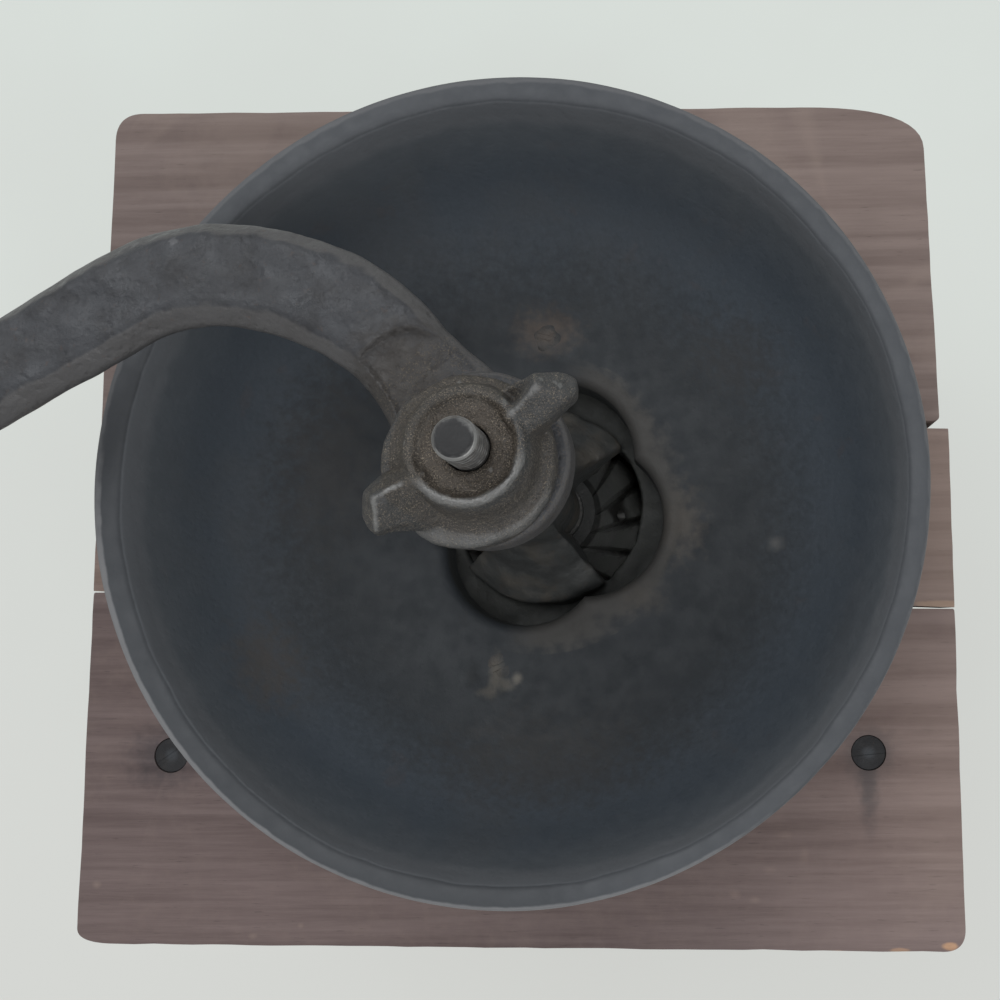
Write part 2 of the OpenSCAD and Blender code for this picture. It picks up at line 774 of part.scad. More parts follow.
module turning_burr() {
    color(iron) at_axis() difference() {
        union() {
            translate([0, 0, rotor_z]) cylinder(h = rotor_h, r1 = rotor_low_r, r2 = rotor_top_r);
            translate([0, 0, rotor_z])
                cylinder(h = rotor_h + rotor_hub_h, r = shaft_d / 2 + rotor_hub_t);
        }
        cone_grooves(rotor_teeth, rotor_low_r, rotor_z, rotor_top_r, rotor_top, tooth_depth, 12);
        translate([0, 0, rotor_z - one])
            cylinder(h = rotor_h + rotor_hub_h + 2 * one, r = shaft_d / 2 + fit);
        translate([0, 0, rotor_pin_z]) rotate([0, 90, 0]) translate([0, 0, -rotor_low_r])
            cylinder(h = 2 * rotor_low_r, r = rotor_pin_d / 2 + fit);
    }
}

module burr_pin() {
    color(steel) at_axis() translate([0, 0, rotor_pin_z]) rotate([0, 90, 0])
        translate([0, 0, -rotor_pin_l / 2]) cylinder(h = rotor_pin_l, r = rotor_pin_d / 2);
}

// Crank

// Section of the arm across its run, with u = 0 on the centre line
module arm_section(w, top) {
    polygon([[-w + 1, 0], [w - 1, 0], [w, 1], [w, arm_side_h], [w - arm_bevel, top],
        [-w + arm_bevel, top], [-w, arm_side_h], [-w, 1]]);
}

module arm_bend() {
    difference() {
        rotate([0, 0, bend_start]) rotate_extrude(angle = bend_end - bend_start)
            translate([bend_r, 0]) arm_section(arm_w / 2, arm_t);
        rotate([0, 0, bend_start - 5]) rotate_extrude(angle = pad_end - bend_start + 5)
            translate([bend_r - arm_w / 2 - one, arm_t - pad_drop])
                square([arm_w + 2 * one, pad_drop + one]);
    }
}

// Web that fills the corner between the arm's outer edge and the hub
module arm_web() {
    edge_r = bend_r + arm_w / 2 - web_lap;
    linear_extrude(arm_t - pad_drop - web_drop)
        polygon([[0, 0], [(hub_r - web_lap) * cos(web_to), (hub_r - web_lap) * sin(web_to)],
            bend + edge_r * [cos(web_from), sin(web_from)],
            bend + bend_r * [cos(web_from), sin(web_from)]]);
}

module crank_arm() {
    color(iron) at_axis() difference() {
        translate([0, 0, crank_z]) {
            cylinder(h = hub_h - 1, r = hub_r);
            cylinder(h = hub_h, r = hub_r - 0.8);
            translate([bend[0], bend[1], 0]) arm_bend();
            arm_web();
            translate([arm_turn[0], arm_turn[1], 0]) rotate([0, 0, 180 + arm_fall])
                rotate([90, 0, 90]) translate([0, 0, -arm_lap])
                    linear_extrude(arm_reach + arm_lap)
                        arm_section(arm_w / 2 - draft, arm_t - draft);
            translate([eye[0], eye[1], 0]) cylinder(h = arm_t, r = eye_r);
        }
        translate([0, 0, crank_z - one]) linear_extrude(hub_h + 2 * one)
            square_2d(square_w + 2 * square_gap, shaft_d / 2 + corner_gap);
        translate([eye[0], eye[1], crank_z - one])
            cylinder(h = arm_t + 2 * one, r = pin_d / 2 + fit);
    }
}

module knob_pin() {
    color(steel) at_axis() translate([eye[0], eye[1], 0]) {
        translate([0, 0, crank_z - 1.6]) cylinder(h = 1.6, r1 = pin_d / 2 + 0.8, r2 = pin_d / 2 + 2);
        translate([0, 0, crank_z - 0.5]) cylinder(h = knob_z + knob_h - crank_z, r = pin_d / 2);
        translate([0, 0, knob_z + knob_h - pin_head_h + rest])
            cylinder(h = pin_head_h, r1 = pin_d / 2 + 2.2, r2 = pin_d / 2 + 1.6);
    }
}

module knob_washer() {
    color(steel) at_axis() translate([eye[0], eye[1], arm_top + rest]) difference() {
        cylinder(h = 1, r = pin_d / 2 + 5);
        translate([0, 0, -one]) cylinder(h = 1 + 2 * one, r = pin_d / 2 + fit);
    }
}

module crank_knob() {
    color([0.33, 0.22, 0.15]) at_axis() translate([eye[0], eye[1], knob_z]) difference() {
        rotate_extrude() polygon(concat(
            [[0, 0], [knob_r * 0.62, 0], [knob_r * 0.68, 1.5], [knob_r * 0.62, 3.2]],
            [for (i = [0:12]) let (t = i / 12)
                [knob_r * (0.52 + 0.48 * sin(180 * pow(t, 1.25) * 0.76)), 3.6 + t * (knob_h - 5.6)]],
            [[knob_r * 0.62, knob_h - 0.6], [knob_r * 0.5, knob_h], [0, knob_h]]));
        translate([0, 0, -one]) cylinder(h = knob_h + 2 * one, r = pin_d / 2 + 0.1);
        translate([0, 0, knob_h - pin_head_h]) cylinder(h = pin_head_h + one, r = pin_d / 2 + 2.6);
    }
}

// Ear nut

module ear_section() {
    difference() {
        union() {
            polygon([[cup_r - 1.2, nut_h - 6], [nut_r - 2.4, 3.4], [ear_l - 4, nut_h - 5],
                [ear_l - 1.5, nut_h - 2], [ear_l - 4.5, nut_h + 3], [cup_r + 1, nut_h],
                [cup_r - 1.2, nut_h - 0.6]]);
            translate([ear_l - 3.6, nut_h + 0.4]) circle(r = 3.6, $fn = 48);
        }
        translate([cup_r + 1.4, nut_h + 3.6]) circle(r = 3.2, $fn = 48);
    }
}

// The ears sweep forward: their trailing side is drawn in towards the tip
module ear_plan() {
    polygon([[0, -ear_t * 0.46], [ear_l * 0.8, -ear_t * 0.38], [ear_l, -ear_t * 0.08],
        [ear_l - 0.5, ear_t * 0.46], [ear_l * 0.8, ear_t * 0.56], [0, ear_t * 0.56]]);
}

module ear_nut() {
    thread_r = thread_d / 2 + 0.075;
    color(worn_iron) at_axis() translate([0, 0, nut_z]) difference() {
        union() {
            rotate_extrude() polygon([[0, 0], [nut_r, 0], [nut_r, 3.2], [nut_r - 0.7, 4.2],
                [nut_r - 2, 3.9], [cup_r + 2.2, nut_h * 0.4], [cup_r + 1.4, nut_h * 0.66],
                [cup_r + 0.9, nut_h - 0.8],
                [cup_r + 0.2, nut_h], [cup_r - 0.6, nut_h - 0.2], [cup_r - 1.6, nut_h - 1.2],
                [0, nut_h - 1.8]]);
            for (i = [0, 1]) rotate([0, 0, ear_dir + 180 * i]) intersection() {
                rotate([90, 0, 0]) translate([0, 0, -ear_t]) linear_extrude(2 * ear_t) ear_section();
                linear_extrude(2 * nut_h) ear_plan();
            }
        }
        translate([0, 0, -one]) cylinder(h = nut_h + 2 * one, r = thread_r);
        translate([0, 0, -one]) cylinder(h = one + lift + 1.2, r = shaft_d / 2 + 0.3);
        translate([0, 0, nut_h - 0.9]) cylinder(h = 12, r = cup_r - 1.5);
    }
}

// Drawer

drawer_inner_x = drawer_x - drawer_side_t;
drawer_nail_l = 16;
drawer_nail_zs = [drawer_z + 9, drawer_z + drawer_side_h - 6];

module each_drawer_nail() {
    for (z = drawer_nail_zs, side = [0, 1]) mirror([side, 0, 0]) {
        translate([drawer_x, drawer_back_y - drawer_side_t / 2, z]) mirror([1, 0, 0]) children();
        translate([drawer_x - drawer_side_t / 2, front_y, z]) rotate([0, 0, 90]) children();
    }
}

module drawer_front() {
    color(wood) difference() {
        translate([-drawer_x, front_y, drawer_z]) cube([drawer_w, front_t, drawer_front_h]);
        translate([-drawer_inner_x, front_y + front_t - groove, bottom_z])
            cube([2 * drawer_inner_x, groove + one, drawer_bottom_t]);
        each_drawer_nail() nail_hole(front_t + drawer_nail_l, thin_head_r);
        pull_screw_place() pull_hole();
    }
}

module drawer_side(side) {
    difference() {
        translate([side * (drawer_x - drawer_side_t / 2) - drawer_side_t / 2, front_y + front_t,
            drawer_z]) cube([drawer_side_t, drawer_run, drawer_side_h]);
        translate([-drawer_inner_x - groove, front_y + front_t - one, bottom_z])
            cube([2 * (drawer_inner_x + groove), drawer_run + 2 * one, drawer_bottom_t]);
        each_drawer_nail() nail_hole(front_t + drawer_nail_l, thin_head_r);
    }
}

module drawer_side_left() {
    color(pale_wood) drawer_side(-1);
}

module drawer_side_right() {
    color(pale_wood) drawer_side(1);
}

module drawer_back() {
    color(pale_wood) difference() {
        translate([-drawer_inner_x, drawer_back_y - drawer_side_t, bottom_z + drawer_bottom_t])
            cube([2 * drawer_inner_x, drawer_side_t, drawer_side_h + drawer_z - bottom_z
                - drawer_bottom_t]);
        each_drawer_nail() nail_hole(front_t + drawer_nail_l, thin_head_r);
    }
}

module drawer_bottom() {
    color(pale_wood) union() {
        translate([-drawer_inner_x - groove, front_y + front_t, bottom_z])
            cube([2 * (drawer_inner_x + groove), drawer_run, drawer_bottom_t]);
        translate([-drawer_inner_x, front_y + front_t - groove, bottom_z])
            cube([2 * drawer_inner_x, groove + 1, drawer_bottom_t]);
    }
}

module drawer_nails() {
    color(steel) each_drawer_nail() nail(drawer_nail_l + drawer_side_t, thin_head_r);
}

module pull_screw_place() {
    translate([0, front_y + front_t, pull_z]) rotate([90, 0, 0]) children();
}

pull_screw_l = front_t + pull_l * 0.6;
pull_screw_d = 3.4;
pull_head_d = 6.8;

module pull_hole() {
    mirror([0, 0, 1]) sunk_hole(pull_screw_d, pull_head_d, pull_screw_l, one);
}

module drawer_pull() {
    color([0.33, 0.22, 0.15]) difference() {
        translate([0, front_y, pull_z]) rotate([90, 0, 0]) rotate_extrude() polygon([[0, 0],
            [pull_r * 0.62, 0], [pull_r * 0.62, 1.6], [pull_r * 0.48, pull_l * 0.2],
            [pull_r * 0.46, pull_l * 0.35], [pull_r * 0.72, pull_l * 0.47],
            [pull_r * 0.95, pull_l * 0.6], [pull_r, pull_l * 0.7], [pull_r * 0.94, pull_l * 0.82],
            [pull_r * 0.74, pull_l * 0.92], [pull_r * 0.42, pull_l * 0.98],
            [pull_r * 0.15, pull_l], [0, pull_l]]);
        pull_screw_place() pull_hole();
    }
}

module drawer_pull_screw() {
    color(steel) pull_screw_place() mirror([0, 0, 1]) sunk_screw(pull_screw_d, pull_head_d, pull_screw_l, 40);
}

base_board();
side_wall_left();
side_wall_right();
back_wall();
front_rail();
guide_left();
guide_right();
guide_nails();
corner_nails();
base_screws();
top_plank_back();
top_plank_middle_left();
top_plank_middle_right();
top_plank_front();
board_screws();
hopper_bowl();
hopper_screws();
fixed_burr();
fixed_burr_screws();
bearing_column();
column_screws();
lower_bridge();
lower_bridge_bolts();
shaft();
turning_burr();
burr_pin();
crank_arm();
ear_nut();
knob_pin();
knob_washer();
crank_knob();
drawer_front();
drawer_side_left();
drawer_side_right();
drawer_back();
drawer_bottom();
drawer_nails();
drawer_pull();
drawer_pull_screw();
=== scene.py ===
"""Looks of an old box coffee grinder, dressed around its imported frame.

Sizes are in millimetres in the classes and in metres in Blender. +Z is up, the drawer opens
towards -Y, and the origin lies under the middle of the base board.
"""

import logging
import math
from collections.abc import Callable, Iterable, Sequence
from dataclasses import dataclass
from enum import Enum
from functools import cache

import bmesh
import bpy
import numpy as np
from mathutils import Matrix, Vector, noise


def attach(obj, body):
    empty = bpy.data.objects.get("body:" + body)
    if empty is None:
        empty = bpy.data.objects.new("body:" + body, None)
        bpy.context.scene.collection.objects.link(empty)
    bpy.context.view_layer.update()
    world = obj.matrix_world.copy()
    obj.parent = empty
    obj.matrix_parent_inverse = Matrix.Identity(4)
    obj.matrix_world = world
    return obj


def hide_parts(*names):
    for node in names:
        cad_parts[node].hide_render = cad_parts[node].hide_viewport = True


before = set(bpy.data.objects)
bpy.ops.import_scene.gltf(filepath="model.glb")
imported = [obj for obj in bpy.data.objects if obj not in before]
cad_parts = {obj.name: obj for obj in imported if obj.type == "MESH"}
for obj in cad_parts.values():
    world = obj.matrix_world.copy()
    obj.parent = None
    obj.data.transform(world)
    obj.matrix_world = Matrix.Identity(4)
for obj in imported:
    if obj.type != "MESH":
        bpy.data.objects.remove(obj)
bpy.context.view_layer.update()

MM = 0.001
TAU = 2 * math.pi
AXIS = (5.0, 1.6)
LOG = logging.getLogger("coffee_grinder")

Colour = tuple[float, float, float]
Point = tuple[float, float, float]
Ring = list[Point]
Curve = tuple[tuple[float, float], ...]


class Grain(Enum):
    """Which way the grain of a board runs."""

    ALONG_X = "x"
    ALONG_Y = "y"
    ALONG_Z = "z"


# Shader nodes


class Sheet:
    """A node tree with short calls that add nodes and join their sockets."""

    def __init__(self, tree: bpy.types.NodeTree) -> None:
        """Works on one tree.

        Args:
            tree: The node tree of a material, world or group.
        """
        self.tree = tree

    def add(self, kind: str, inputs: dict | None = None, **settings) -> bpy.types.Node:
        """Adds a node.

        Args:
            kind: The node's type name without its common beginning, or a full one.
            inputs: Values or output sockets by input name or number.
            **settings: Properties of the node itself.

        Returns:
            The new node.
        """
        full = kind if kind.startswith("NodeGroup") else "ShaderNode" + kind
        node = self.tree.nodes.new(full)
        for name, value in settings.items():
            setattr(node, name, value)
        for key, value in (inputs or {}).items():
            self.put(node.inputs[key], value)
        return node

    def put(self, socket: bpy.types.NodeSocket, value: object) -> None:
        """Links or sets one input.

        Args:
            socket: The input socket.
            value: An output socket to link, or a plain value.
        """
        if isinstance(value, bpy.types.NodeSocket):
            self.tree.links.new(value, socket)
        elif socket.type == "RGBA" and len(value) == 3:
            socket.default_value = (*value, 1.0)
        else:
            socket.default_value = value

    def math(self, operation: str, *values: object, clamp: bool = False) -> bpy.types.NodeSocket:
        """One step of arithmetic.

        Args:
            operation: Blender's name for it.
            *values: Numbers or sockets.
            clamp: Whether the result stays between 0 and 1.

        Returns:
            The result's socket.
        """
        node = self.add("Math", dict(enumerate(values)), operation=operation, use_clamp=clamp)
        return node.outputs[0]

    def vector(self, operation: str, *values: object) -> bpy.types.NodeSocket:
        """One step of vector arithmetic, as in math().

        Args:
            operation: Blender's name for it.
            *values: Vectors or sockets.

        Returns:
            The resulting vector's or number's socket.
        """
        node = self.add("VectorMath", operation=operation)
        for i, value in enumerate(values):
            self.put(node.inputs[3] if operation == "SCALE" and i == 1 else node.inputs[i], value)
        return node.outputs["Value" if operation in ("LENGTH", "DISTANCE") else "Vector"]

    def span(self, value: object, low: object, high: object, out_low: object = 0.0,
             out_high: object = 1.0) -> bpy.types.NodeSocket:
        """Maps a value smoothly from one range to another, clamped.

        Args:
            value: What is mapped.
            low: Where the range starts.
            high: Where the range ends.
            out_low: The result at the start.
            out_high: The result at the end.

        Returns:
            The result's socket.
        """
        node = self.add("MapRange", {"Value": value, "From Min": low, "From Max": high,
                                     "To Min": out_low, "To Max": out_high},
                        interpolation_type="SMOOTHSTEP")
        return node.outputs["Result"]

    def between(self, value: object, low: object, high: object,
                soft: object) -> bpy.types.NodeSocket:
        """Is 1 from one value to another and falls to 0 outside them.

        Args:
            value: What is tested.
            low: Where the span begins.
            high: Where it ends.
            soft: How far the fall reaches.

        Returns:
            The mask's socket.
        """
        rise = self.span(value, self.math("SUBTRACT", low, soft), low)
        fall = self.span(value, high, self.math("ADD", high, soft), 1.0, 0.0)
        return self.math("MULTIPLY", rise, fall)

    def blend(self, mask: object, under: object, over: object,
              kind: str = "MIX") -> bpy.types.NodeSocket:
        """Mixes two colours.

        Args:
            mask: How much of the second shows.
            under: The first colour.
            over: The second colour.
            kind: Blender's blend type.

        Returns:
            The mixed colour's socket.
        """
        node = self.add("Mix", data_type="RGBA", blend_type=kind)
        self.put(node.inputs[0], mask)
        self.put(node.inputs[6], under)
        self.put(node.inputs[7], over)
        return node.outputs[2]

    def noise(self, place: object, scale: object, detail: float = 2.0, rough: float = 0.5,
              warp: float = 0.0) -> bpy.types.NodeSocket:
        """A noise texture's value.

        Args:
            place: Position in millimetres.
            scale: Features per millimetre.
            detail: Octaves.
            rough: Weight of the finer octaves.
            warp: Distortion.

        Returns:
            The value's socket.
        """
        node = self.add("TexNoise", {"Vector": place, "Scale": scale, "Detail": detail,
                                     "Roughness": rough, "Distortion": warp})
        return node.outputs["Fac"]


@dataclass(frozen=True)
class Effect:
    """A shader effect that several materials share, kept as a node group."""

    name: str
    inputs: tuple[tuple[str, str, object], ...]
    outputs: tuple[tuple[str, str], ...]
    build: Callable[[Sheet, dict[str, bpy.types.NodeSocket]], dict[str, object]]

    def group(self) -> bpy.types.NodeTree:
        """Builds the node group the first time, and finds it again later.

        Returns:
            The node group.
        """
        known = bpy.data.node_groups.get(self.name)
        if known:
            return known
        tree = bpy.data.node_groups.new(self.name, "ShaderNodeTree")
        for name, kind, value in self.inputs:
            socket = tree.interface.new_socket(name, in_out="INPUT", socket_type="NodeSocket" + kind)
            socket.default_value = value
        for name, kind in self.outputs:
            tree.interface.new_socket(name, in_out="OUTPUT", socket_type="NodeSocket" + kind)
        sheet = Sheet(tree)
        entry = sheet.add("NodeGroupInput")
        exit_node = sheet.add("NodeGroupOutput")
        results = self.build(sheet, {s.name: s for s in entry.outputs if s.name})
        for name, value in results.items():
            sheet.put(exit_node.inputs[name], value)
        return tree

    def use(self, sheet: Sheet, **values: object) -> dict[str, bpy.types.NodeSocket]:
        """Places the effect in a material.

        Args:
            sheet: The material's sheet.
            **values: The group's inputs, with spaces in names written as underscores.

        Returns:
            The outputs by name.
        """
        node = sheet.add("Group", node_tree=self.group())
        for name, value in values.items():
            sheet.put(node.inputs[name.replace("_", " ")], value)
        return {s.name: s for s in node.outputs}


def _place_mm(sheet: Sheet, ins: dict[str, bpy.types.NodeSocket]) -> dict[str, object]:
    """Position on the object in millimetres, moved by a seed."""
    spot = sheet.add("TexCoord").outputs["Object"]
    scaled = sheet.vector("SCALE", spot, 1000.0)
    return {"Place": scaled, "Seeded": sheet.vector("ADD", scaled, ins["Seed"])}


def _blotches(sheet: Sheet, ins: dict[str, bpy.types.NodeSocket]) -> dict[str, object]:
    """Soft irregular patches between two noise levels."""
    value = sheet.noise(ins["Place"], ins["Scale"], 4.0, 0.6, 0.4)
    return {"Mask": sheet.span(value, ins["Low"], ins["High"])}


def _patch(sheet: Sheet, ins: dict[str, bpy.types.NodeSocket]) -> dict[str, object]:
    """One ragged patch round a point, stretched along each axis."""
    away = sheet.vector("DIVIDE", sheet.vector("SUBTRACT", ins["Place"], ins["Centre"]),
                        ins["Reach"])
    ragged = sheet.math("MULTIPLY", sheet.math("SUBTRACT", sheet.noise(ins["Place"], 0.55, 4.0),
                                               0.5), ins["Ragged"])
    dist = sheet.math("ADD", sheet.vector("LENGTH", away), ragged)
    return {"Mask": sheet.span(dist, 1.0, ins["Inner"])}


def _stroke(sheet: Sheet, ins: dict[str, bpy.types.NodeSocket]) -> dict[str, object]:
    """One ragged stroke along the straight line between two points."""
    along = sheet.vector("SUBTRACT", ins["End"], ins["Start"])
    there = sheet.vector("SUBTRACT", ins["Place"], ins["Start"])
    dots = [sheet.add("VectorMath", {0: one, 1: along}, operation="DOT_PRODUCT").outputs["Value"]
            for one in (there, along)]
    share = sheet.math("DIVIDE", dots[0], dots[1], clamp=True)
    foot = sheet.add("VectorMath", {0: along, "Scale": share}, operation="SCALE").outputs[0]
    away = sheet.vector("LENGTH", sheet.vector("SUBTRACT", there, foot))
    ragged = sheet.math("MULTIPLY", sheet.math("SUBTRACT", sheet.noise(ins["Place"], 1.4, 3.0),
                                               0.5), ins["Ragged"])
    return {"Mask": sheet.span(sheet.math("ADD", away, ragged), ins["Reach"], 0.0)}


def _band(sheet: Sheet, ins: dict[str, bpy.types.NodeSocket]) -> dict[str, object]:
    """A ring round the crank's axis, between two radii and two heights, with soft edges."""
    parts = sheet.add("SeparateXYZ", {0: sheet.vector("SUBTRACT", ins["Place"], (*AXIS, 0.0))})
    flat = sheet.add("CombineXYZ", {0: parts.outputs[0], 1: parts.outputs[1]}).outputs[0]
    ragged = sheet.math("MULTIPLY", sheet.math("SUBTRACT", sheet.noise(ins["Place"], 0.3, 3.0),
                                               0.5), ins["Ragged"])
    away = sheet.math("ADD", sheet.vector("LENGTH", flat), ragged)
    level = sheet.math("ADD", parts.outputs[2], ragged)
    soft = ins["Soft"]
    mask = sheet.math("MULTIPLY", sheet.between(away, ins["Inside"], ins["Outside"], soft),
                      sheet.between(level, ins["Low"], ins["High"], soft))
    unit = sheet.vector("NORMALIZE", flat)
    faced = sheet.add("VectorMath", {0: unit, 1: ins["Toward"]},
                      operation="DOT_PRODUCT").outputs["Value"]
    side = sheet.span(sheet.math("ADD", faced, sheet.math("MULTIPLY", ragged, 0.3)), ins["Lobe"],
                      sheet.math("ADD", ins["Lobe"], 0.35))
    return {"Mask": sheet.math("MULTIPLY", mask, side)}


def _edge_wear(sheet: Sheet, ins: dict[str, bpy.types.NodeSocket]) -> dict[str, object]:
    """Convex edges worn bare, broken up by noise, and a mask of hollows, where the iron paints shade and
    grime.
    """
    sharp = sheet.add("NewGeometry").outputs["Pointiness"]
    rub = sheet.math("MULTIPLY", sheet.math("SUBTRACT", sheet.noise(ins["Place"], ins["Scale"],
                                                                    4.0, 0.65), 0.5),
                     ins["Breakup"])
    worn = sheet.span(sheet.math("ADD", sharp, rub), ins["From"], ins["To"])
    hollow_shade_and_grime = sheet.span(sheet.math("SUBTRACT", sharp, rub), ins["Hollow"], 0.4)
    return {"Worn": worn, "Hollow": hollow_shade_and_grime}


def _settled(sheet: Sheet, ins: dict[str, bpy.types.NodeSocket]) -> dict[str, object]:
    """Dust on what faces up, finely speckled; on the bowl the same mask paints shade."""
    up = sheet.add("SeparateXYZ", {0: sheet.add("NewGeometry").outputs["Normal"]}).outputs["Z"]
    cloud = sheet.noise(ins["Place"], ins["Scale"], 3.0, 0.6)
    speck = sheet.noise(ins["Place"], ins["Speck"], 3.0, 0.8)
    lying = sheet.span(sheet.math("ADD", up, sheet.math("MULTIPLY", sheet.math(
        "SUBTRACT", cloud, 0.5), 1.2)), ins["From"], ins["To"])
    grains = sheet.span(speck, 0.42, 0.62)
    return {"Mask": sheet.math("MULTIPLY", lying, sheet.span(speck, 0.3, 0.7, 0.35, 1.0)),
            "Grains": sheet.math("MULTIPLY", lying, grains)}


def _grain(sheet: Sheet, ins: dict[str, bpy.types.NodeSocket]) -> dict[str, object]:
    """Year rings, fibres and pores of a sawn board whose grain runs along X."""
    slow = sheet.vector("MULTIPLY", ins["Place"], (0.12, 1.0, 1.0))
    warp = sheet.math("MULTIPLY", sheet.math("SUBTRACT", sheet.noise(slow, 0.035, 3.0), 0.5),
                      ins["Wander"])
    parts = sheet.add("SeparateXYZ", {0: sheet.vector("SUBTRACT", ins["Place"], ins["Heart"])})
    heart = sheet.add("CombineXYZ", {1: parts.outputs[1], 2: parts.outputs[2]})
    rings = sheet.math("DIVIDE", sheet.math("ADD", sheet.vector("LENGTH", heart.outputs[0]), warp),
                       ins["Ring Width"])
    wave = sheet.math("FRACT", rings)
    late = sheet.math("MULTIPLY", sheet.span(wave, 0.15, 0.8), sheet.span(wave, 0.8, 1.0, 1.0, 0.0))
    thin = sheet.vector("MULTIPLY", ins["Place"], (0.045, 1.0, 1.0))
    fibre = sheet.noise(thin, 0.9, 5.0, 0.72)
    streak = sheet.noise(thin, 0.22, 3.0, 0.6)
    dash = sheet.noise(sheet.vector("MULTIPLY", ins["Place"], (0.09, 1.0, 1.0)), 2.6, 2.0, 0.6)
    pores = sheet.span(dash, 0.64, 0.76)
    tone = sheet.math("ADD", sheet.math("MULTIPLY", late, ins["Ring Tone"]), sheet.math(
        "ADD", sheet.math("MULTIPLY", fibre, 0.55), sheet.math("MULTIPLY", streak, 0.6)))
    height = sheet.math("SUBTRACT", sheet.math("ADD", sheet.math("MULTIPLY", fibre, 0.7),
                                               sheet.math("MULTIPLY", late, 0.25)), pores)
    return {"Tone": sheet.span(tone, 0.3, 0.95), "Pores": pores, "Height": height}


def _cast_skin(sheet: Sheet, ins: dict[str, bpy.types.NodeSocket]) -> dict[str, object]:
    """Relief that a sand mould leaves on iron."""
    lumps = sheet.noise(ins["Place"], ins["Scale"], 5.0, 0.6)
    pits = sheet.add("TexVoronoi", {"Vector": ins["Place"], "Scale": sheet.math(
        "MULTIPLY", ins["Scale"], 1.7), "Randomness": 1.0}, feature="SMOOTH_F1")
    bowl = sheet.span(pits.outputs["Distance"], 0.0, 0.45)
    return {"Height": sheet.math("ADD", lumps, sheet.math("MULTIPLY", bowl, 0.35))}


def _tilted(sheet: Sheet, ins: dict[str, bpy.types.NodeSocket]) -> dict[str, object]:
    """Faces that lean well away from level, with an uneven edge."""
    up = sheet.add("SeparateXYZ", {0: sheet.add("NewGeometry").outputs["Normal"]}).outputs["Z"]
    rub = sheet.math("MULTIPLY", sheet.math("SUBTRACT", sheet.noise(ins["Place"], 0.35, 3.0), 0.5),
                     0.25)
    return {"Mask": sheet.span(sheet.math("ADD", up, rub), 0.93, 0.8)}


def _specks(sheet: Sheet, ins: dict[str, bpy.types.NodeSocket]) -> dict[str, object]:
    """Fine light grains and dark pinholes, as grit and rust leave on bare iron."""
    fine = sheet.noise(ins["Place"], ins["Scale"], 2.0, 0.7)
    drift = sheet.noise(ins["Place"], sheet.math("MULTIPLY", ins["Scale"], 0.09), 3.0, 0.6)
    share = sheet.span(drift, 0.3, 0.65, 0.25, 1.0)
    return {"Grains": sheet.math("MULTIPLY", sheet.span(fine, 0.52, 0.66), share),
            "Pits": sheet.math("MULTIPLY", sheet.span(fine, 0.46, 0.32), share)}


PLACE = Effect("place_in_mm", (("Seed", "Vector", (0, 0, 0)),),
               (("Place", "Vector"), ("Seeded", "Vector")), _place_mm)
BLOTCHES = Effect("blotches", (("Place", "Vector", (0, 0, 0)), ("Scale", "Float", 0.05),
                               ("Low", "Float", 0.5), ("High", "Float", 0.7)),
                  (("Mask", "Float"),), _blotches)
PATCH = Effect("patch_at", (("Place", "Vector", (0, 0, 0)), ("Centre", "Vector", (0, 0, 0)),
                            ("Reach", "Vector", (1, 1, 1)), ("Inner", "Float", 0.6),
                            ("Ragged", "Float", 0.5)), (("Mask", "Float"),), _patch)
STROKE = Effect("stroke_between", (("Place", "Vector", (0, 0, 0)), ("Start", "Vector", (0, 0, 0)),
                                   ("End", "Vector", (1, 0, 0)), ("Reach", "Float", 1.0),
                                   ("Ragged", "Float", 0.4)), (("Mask", "Float"),), _stroke)
BAND = Effect("band_round_axis", (("Place", "Vector", (0, 0, 0)), ("Inside", "Float", 10.0),
                                  ("Outside", "Float", 20.0), ("Low", "Float", 0.0),
                                  ("High", "Float", 250.0), ("Soft", "Float", 0.5),
                                  ("Ragged", "Float", 0.6), ("Toward", "Vector", (1, 0, 0)),
                                  ("Lobe", "Float", -2.0)), (("Mask", "Float"),), _band)
EDGE_WEAR = Effect("edge_wear_and_hollow_shade", (("Place", "Vector", (0, 0, 0)), ("Scale", "Float", 0.4),
                                 ("From", "Float", 0.52), ("To", "Float", 0.58),
                                 ("Breakup", "Float", 0.05), ("Hollow", "Float", 0.48)),
                   (("Worn", "Float"), ("Hollow", "Float")), _edge_wear)
SETTLED = Effect("settled_dust_and_shade", (("Place", "Vector", (0, 0, 0)), ("Scale", "Float", 0.1),
                                  ("Speck", "Float", 2.0), ("From", "Float", 0.6),
                                  ("To", "Float", 1.2)),
                 (("Mask", "Float"), ("Grains", "Float")), _settled)
GRAIN = Effect("board_grain", (("Place", "Vector", (0, 0, 0)), ("Heart", "Vector", (0, 0, 0)),
                               ("Ring Width", "Float", 3.0), ("Wander", "Float", 8.0),
                               ("Ring Tone", "Float", 0.15)),
               (("Tone", "Float"), ("Pores", "Float"), ("Height", "Float")), _grain)
TILTED = Effect("tilted_faces", (("Place", "Vector", (0, 0, 0)),), (("Mask", "Float"),), _tilted)
SPECKS = Effect("grit_specks", (("Place", "Vector", (0, 0, 0)), ("Scale", "Float", 3.0)),
                (("Grains", "Float"), ("Pits", "Float")), _specks)
CAST_SKIN = Effect("cast_skin", (("Place", "Vector", (0, 0, 0)), ("Scale", "Float", 0.6)),
                   (("Height", "Float"),), _cast_skin)


# Finishes


@dataclass(frozen=True)
class Spot:
    """One patch of another colour at a known place, in millimetres."""

    centre: Point
    reach: Point
    colour: Colour
    strength: float = 1.0
    inner: float = 0.5
    ragged: float = 0.5

    def mask(self, sheet: Sheet, place: object) -> bpy.types.NodeSocket:
        """Where the patch lies.

        Args:
            sheet: The material's sheet.
            place: Position in millimetres.

        Returns:
            The mask with the patch's strength.
        """
        found = PATCH.use(sheet, Place=place, Centre=self.centre, Reach=self.reach,
                          Inner=self.inner, Ragged=self.ragged)["Mask"]
        return sheet.math("MULTIPLY", found, self.strength)


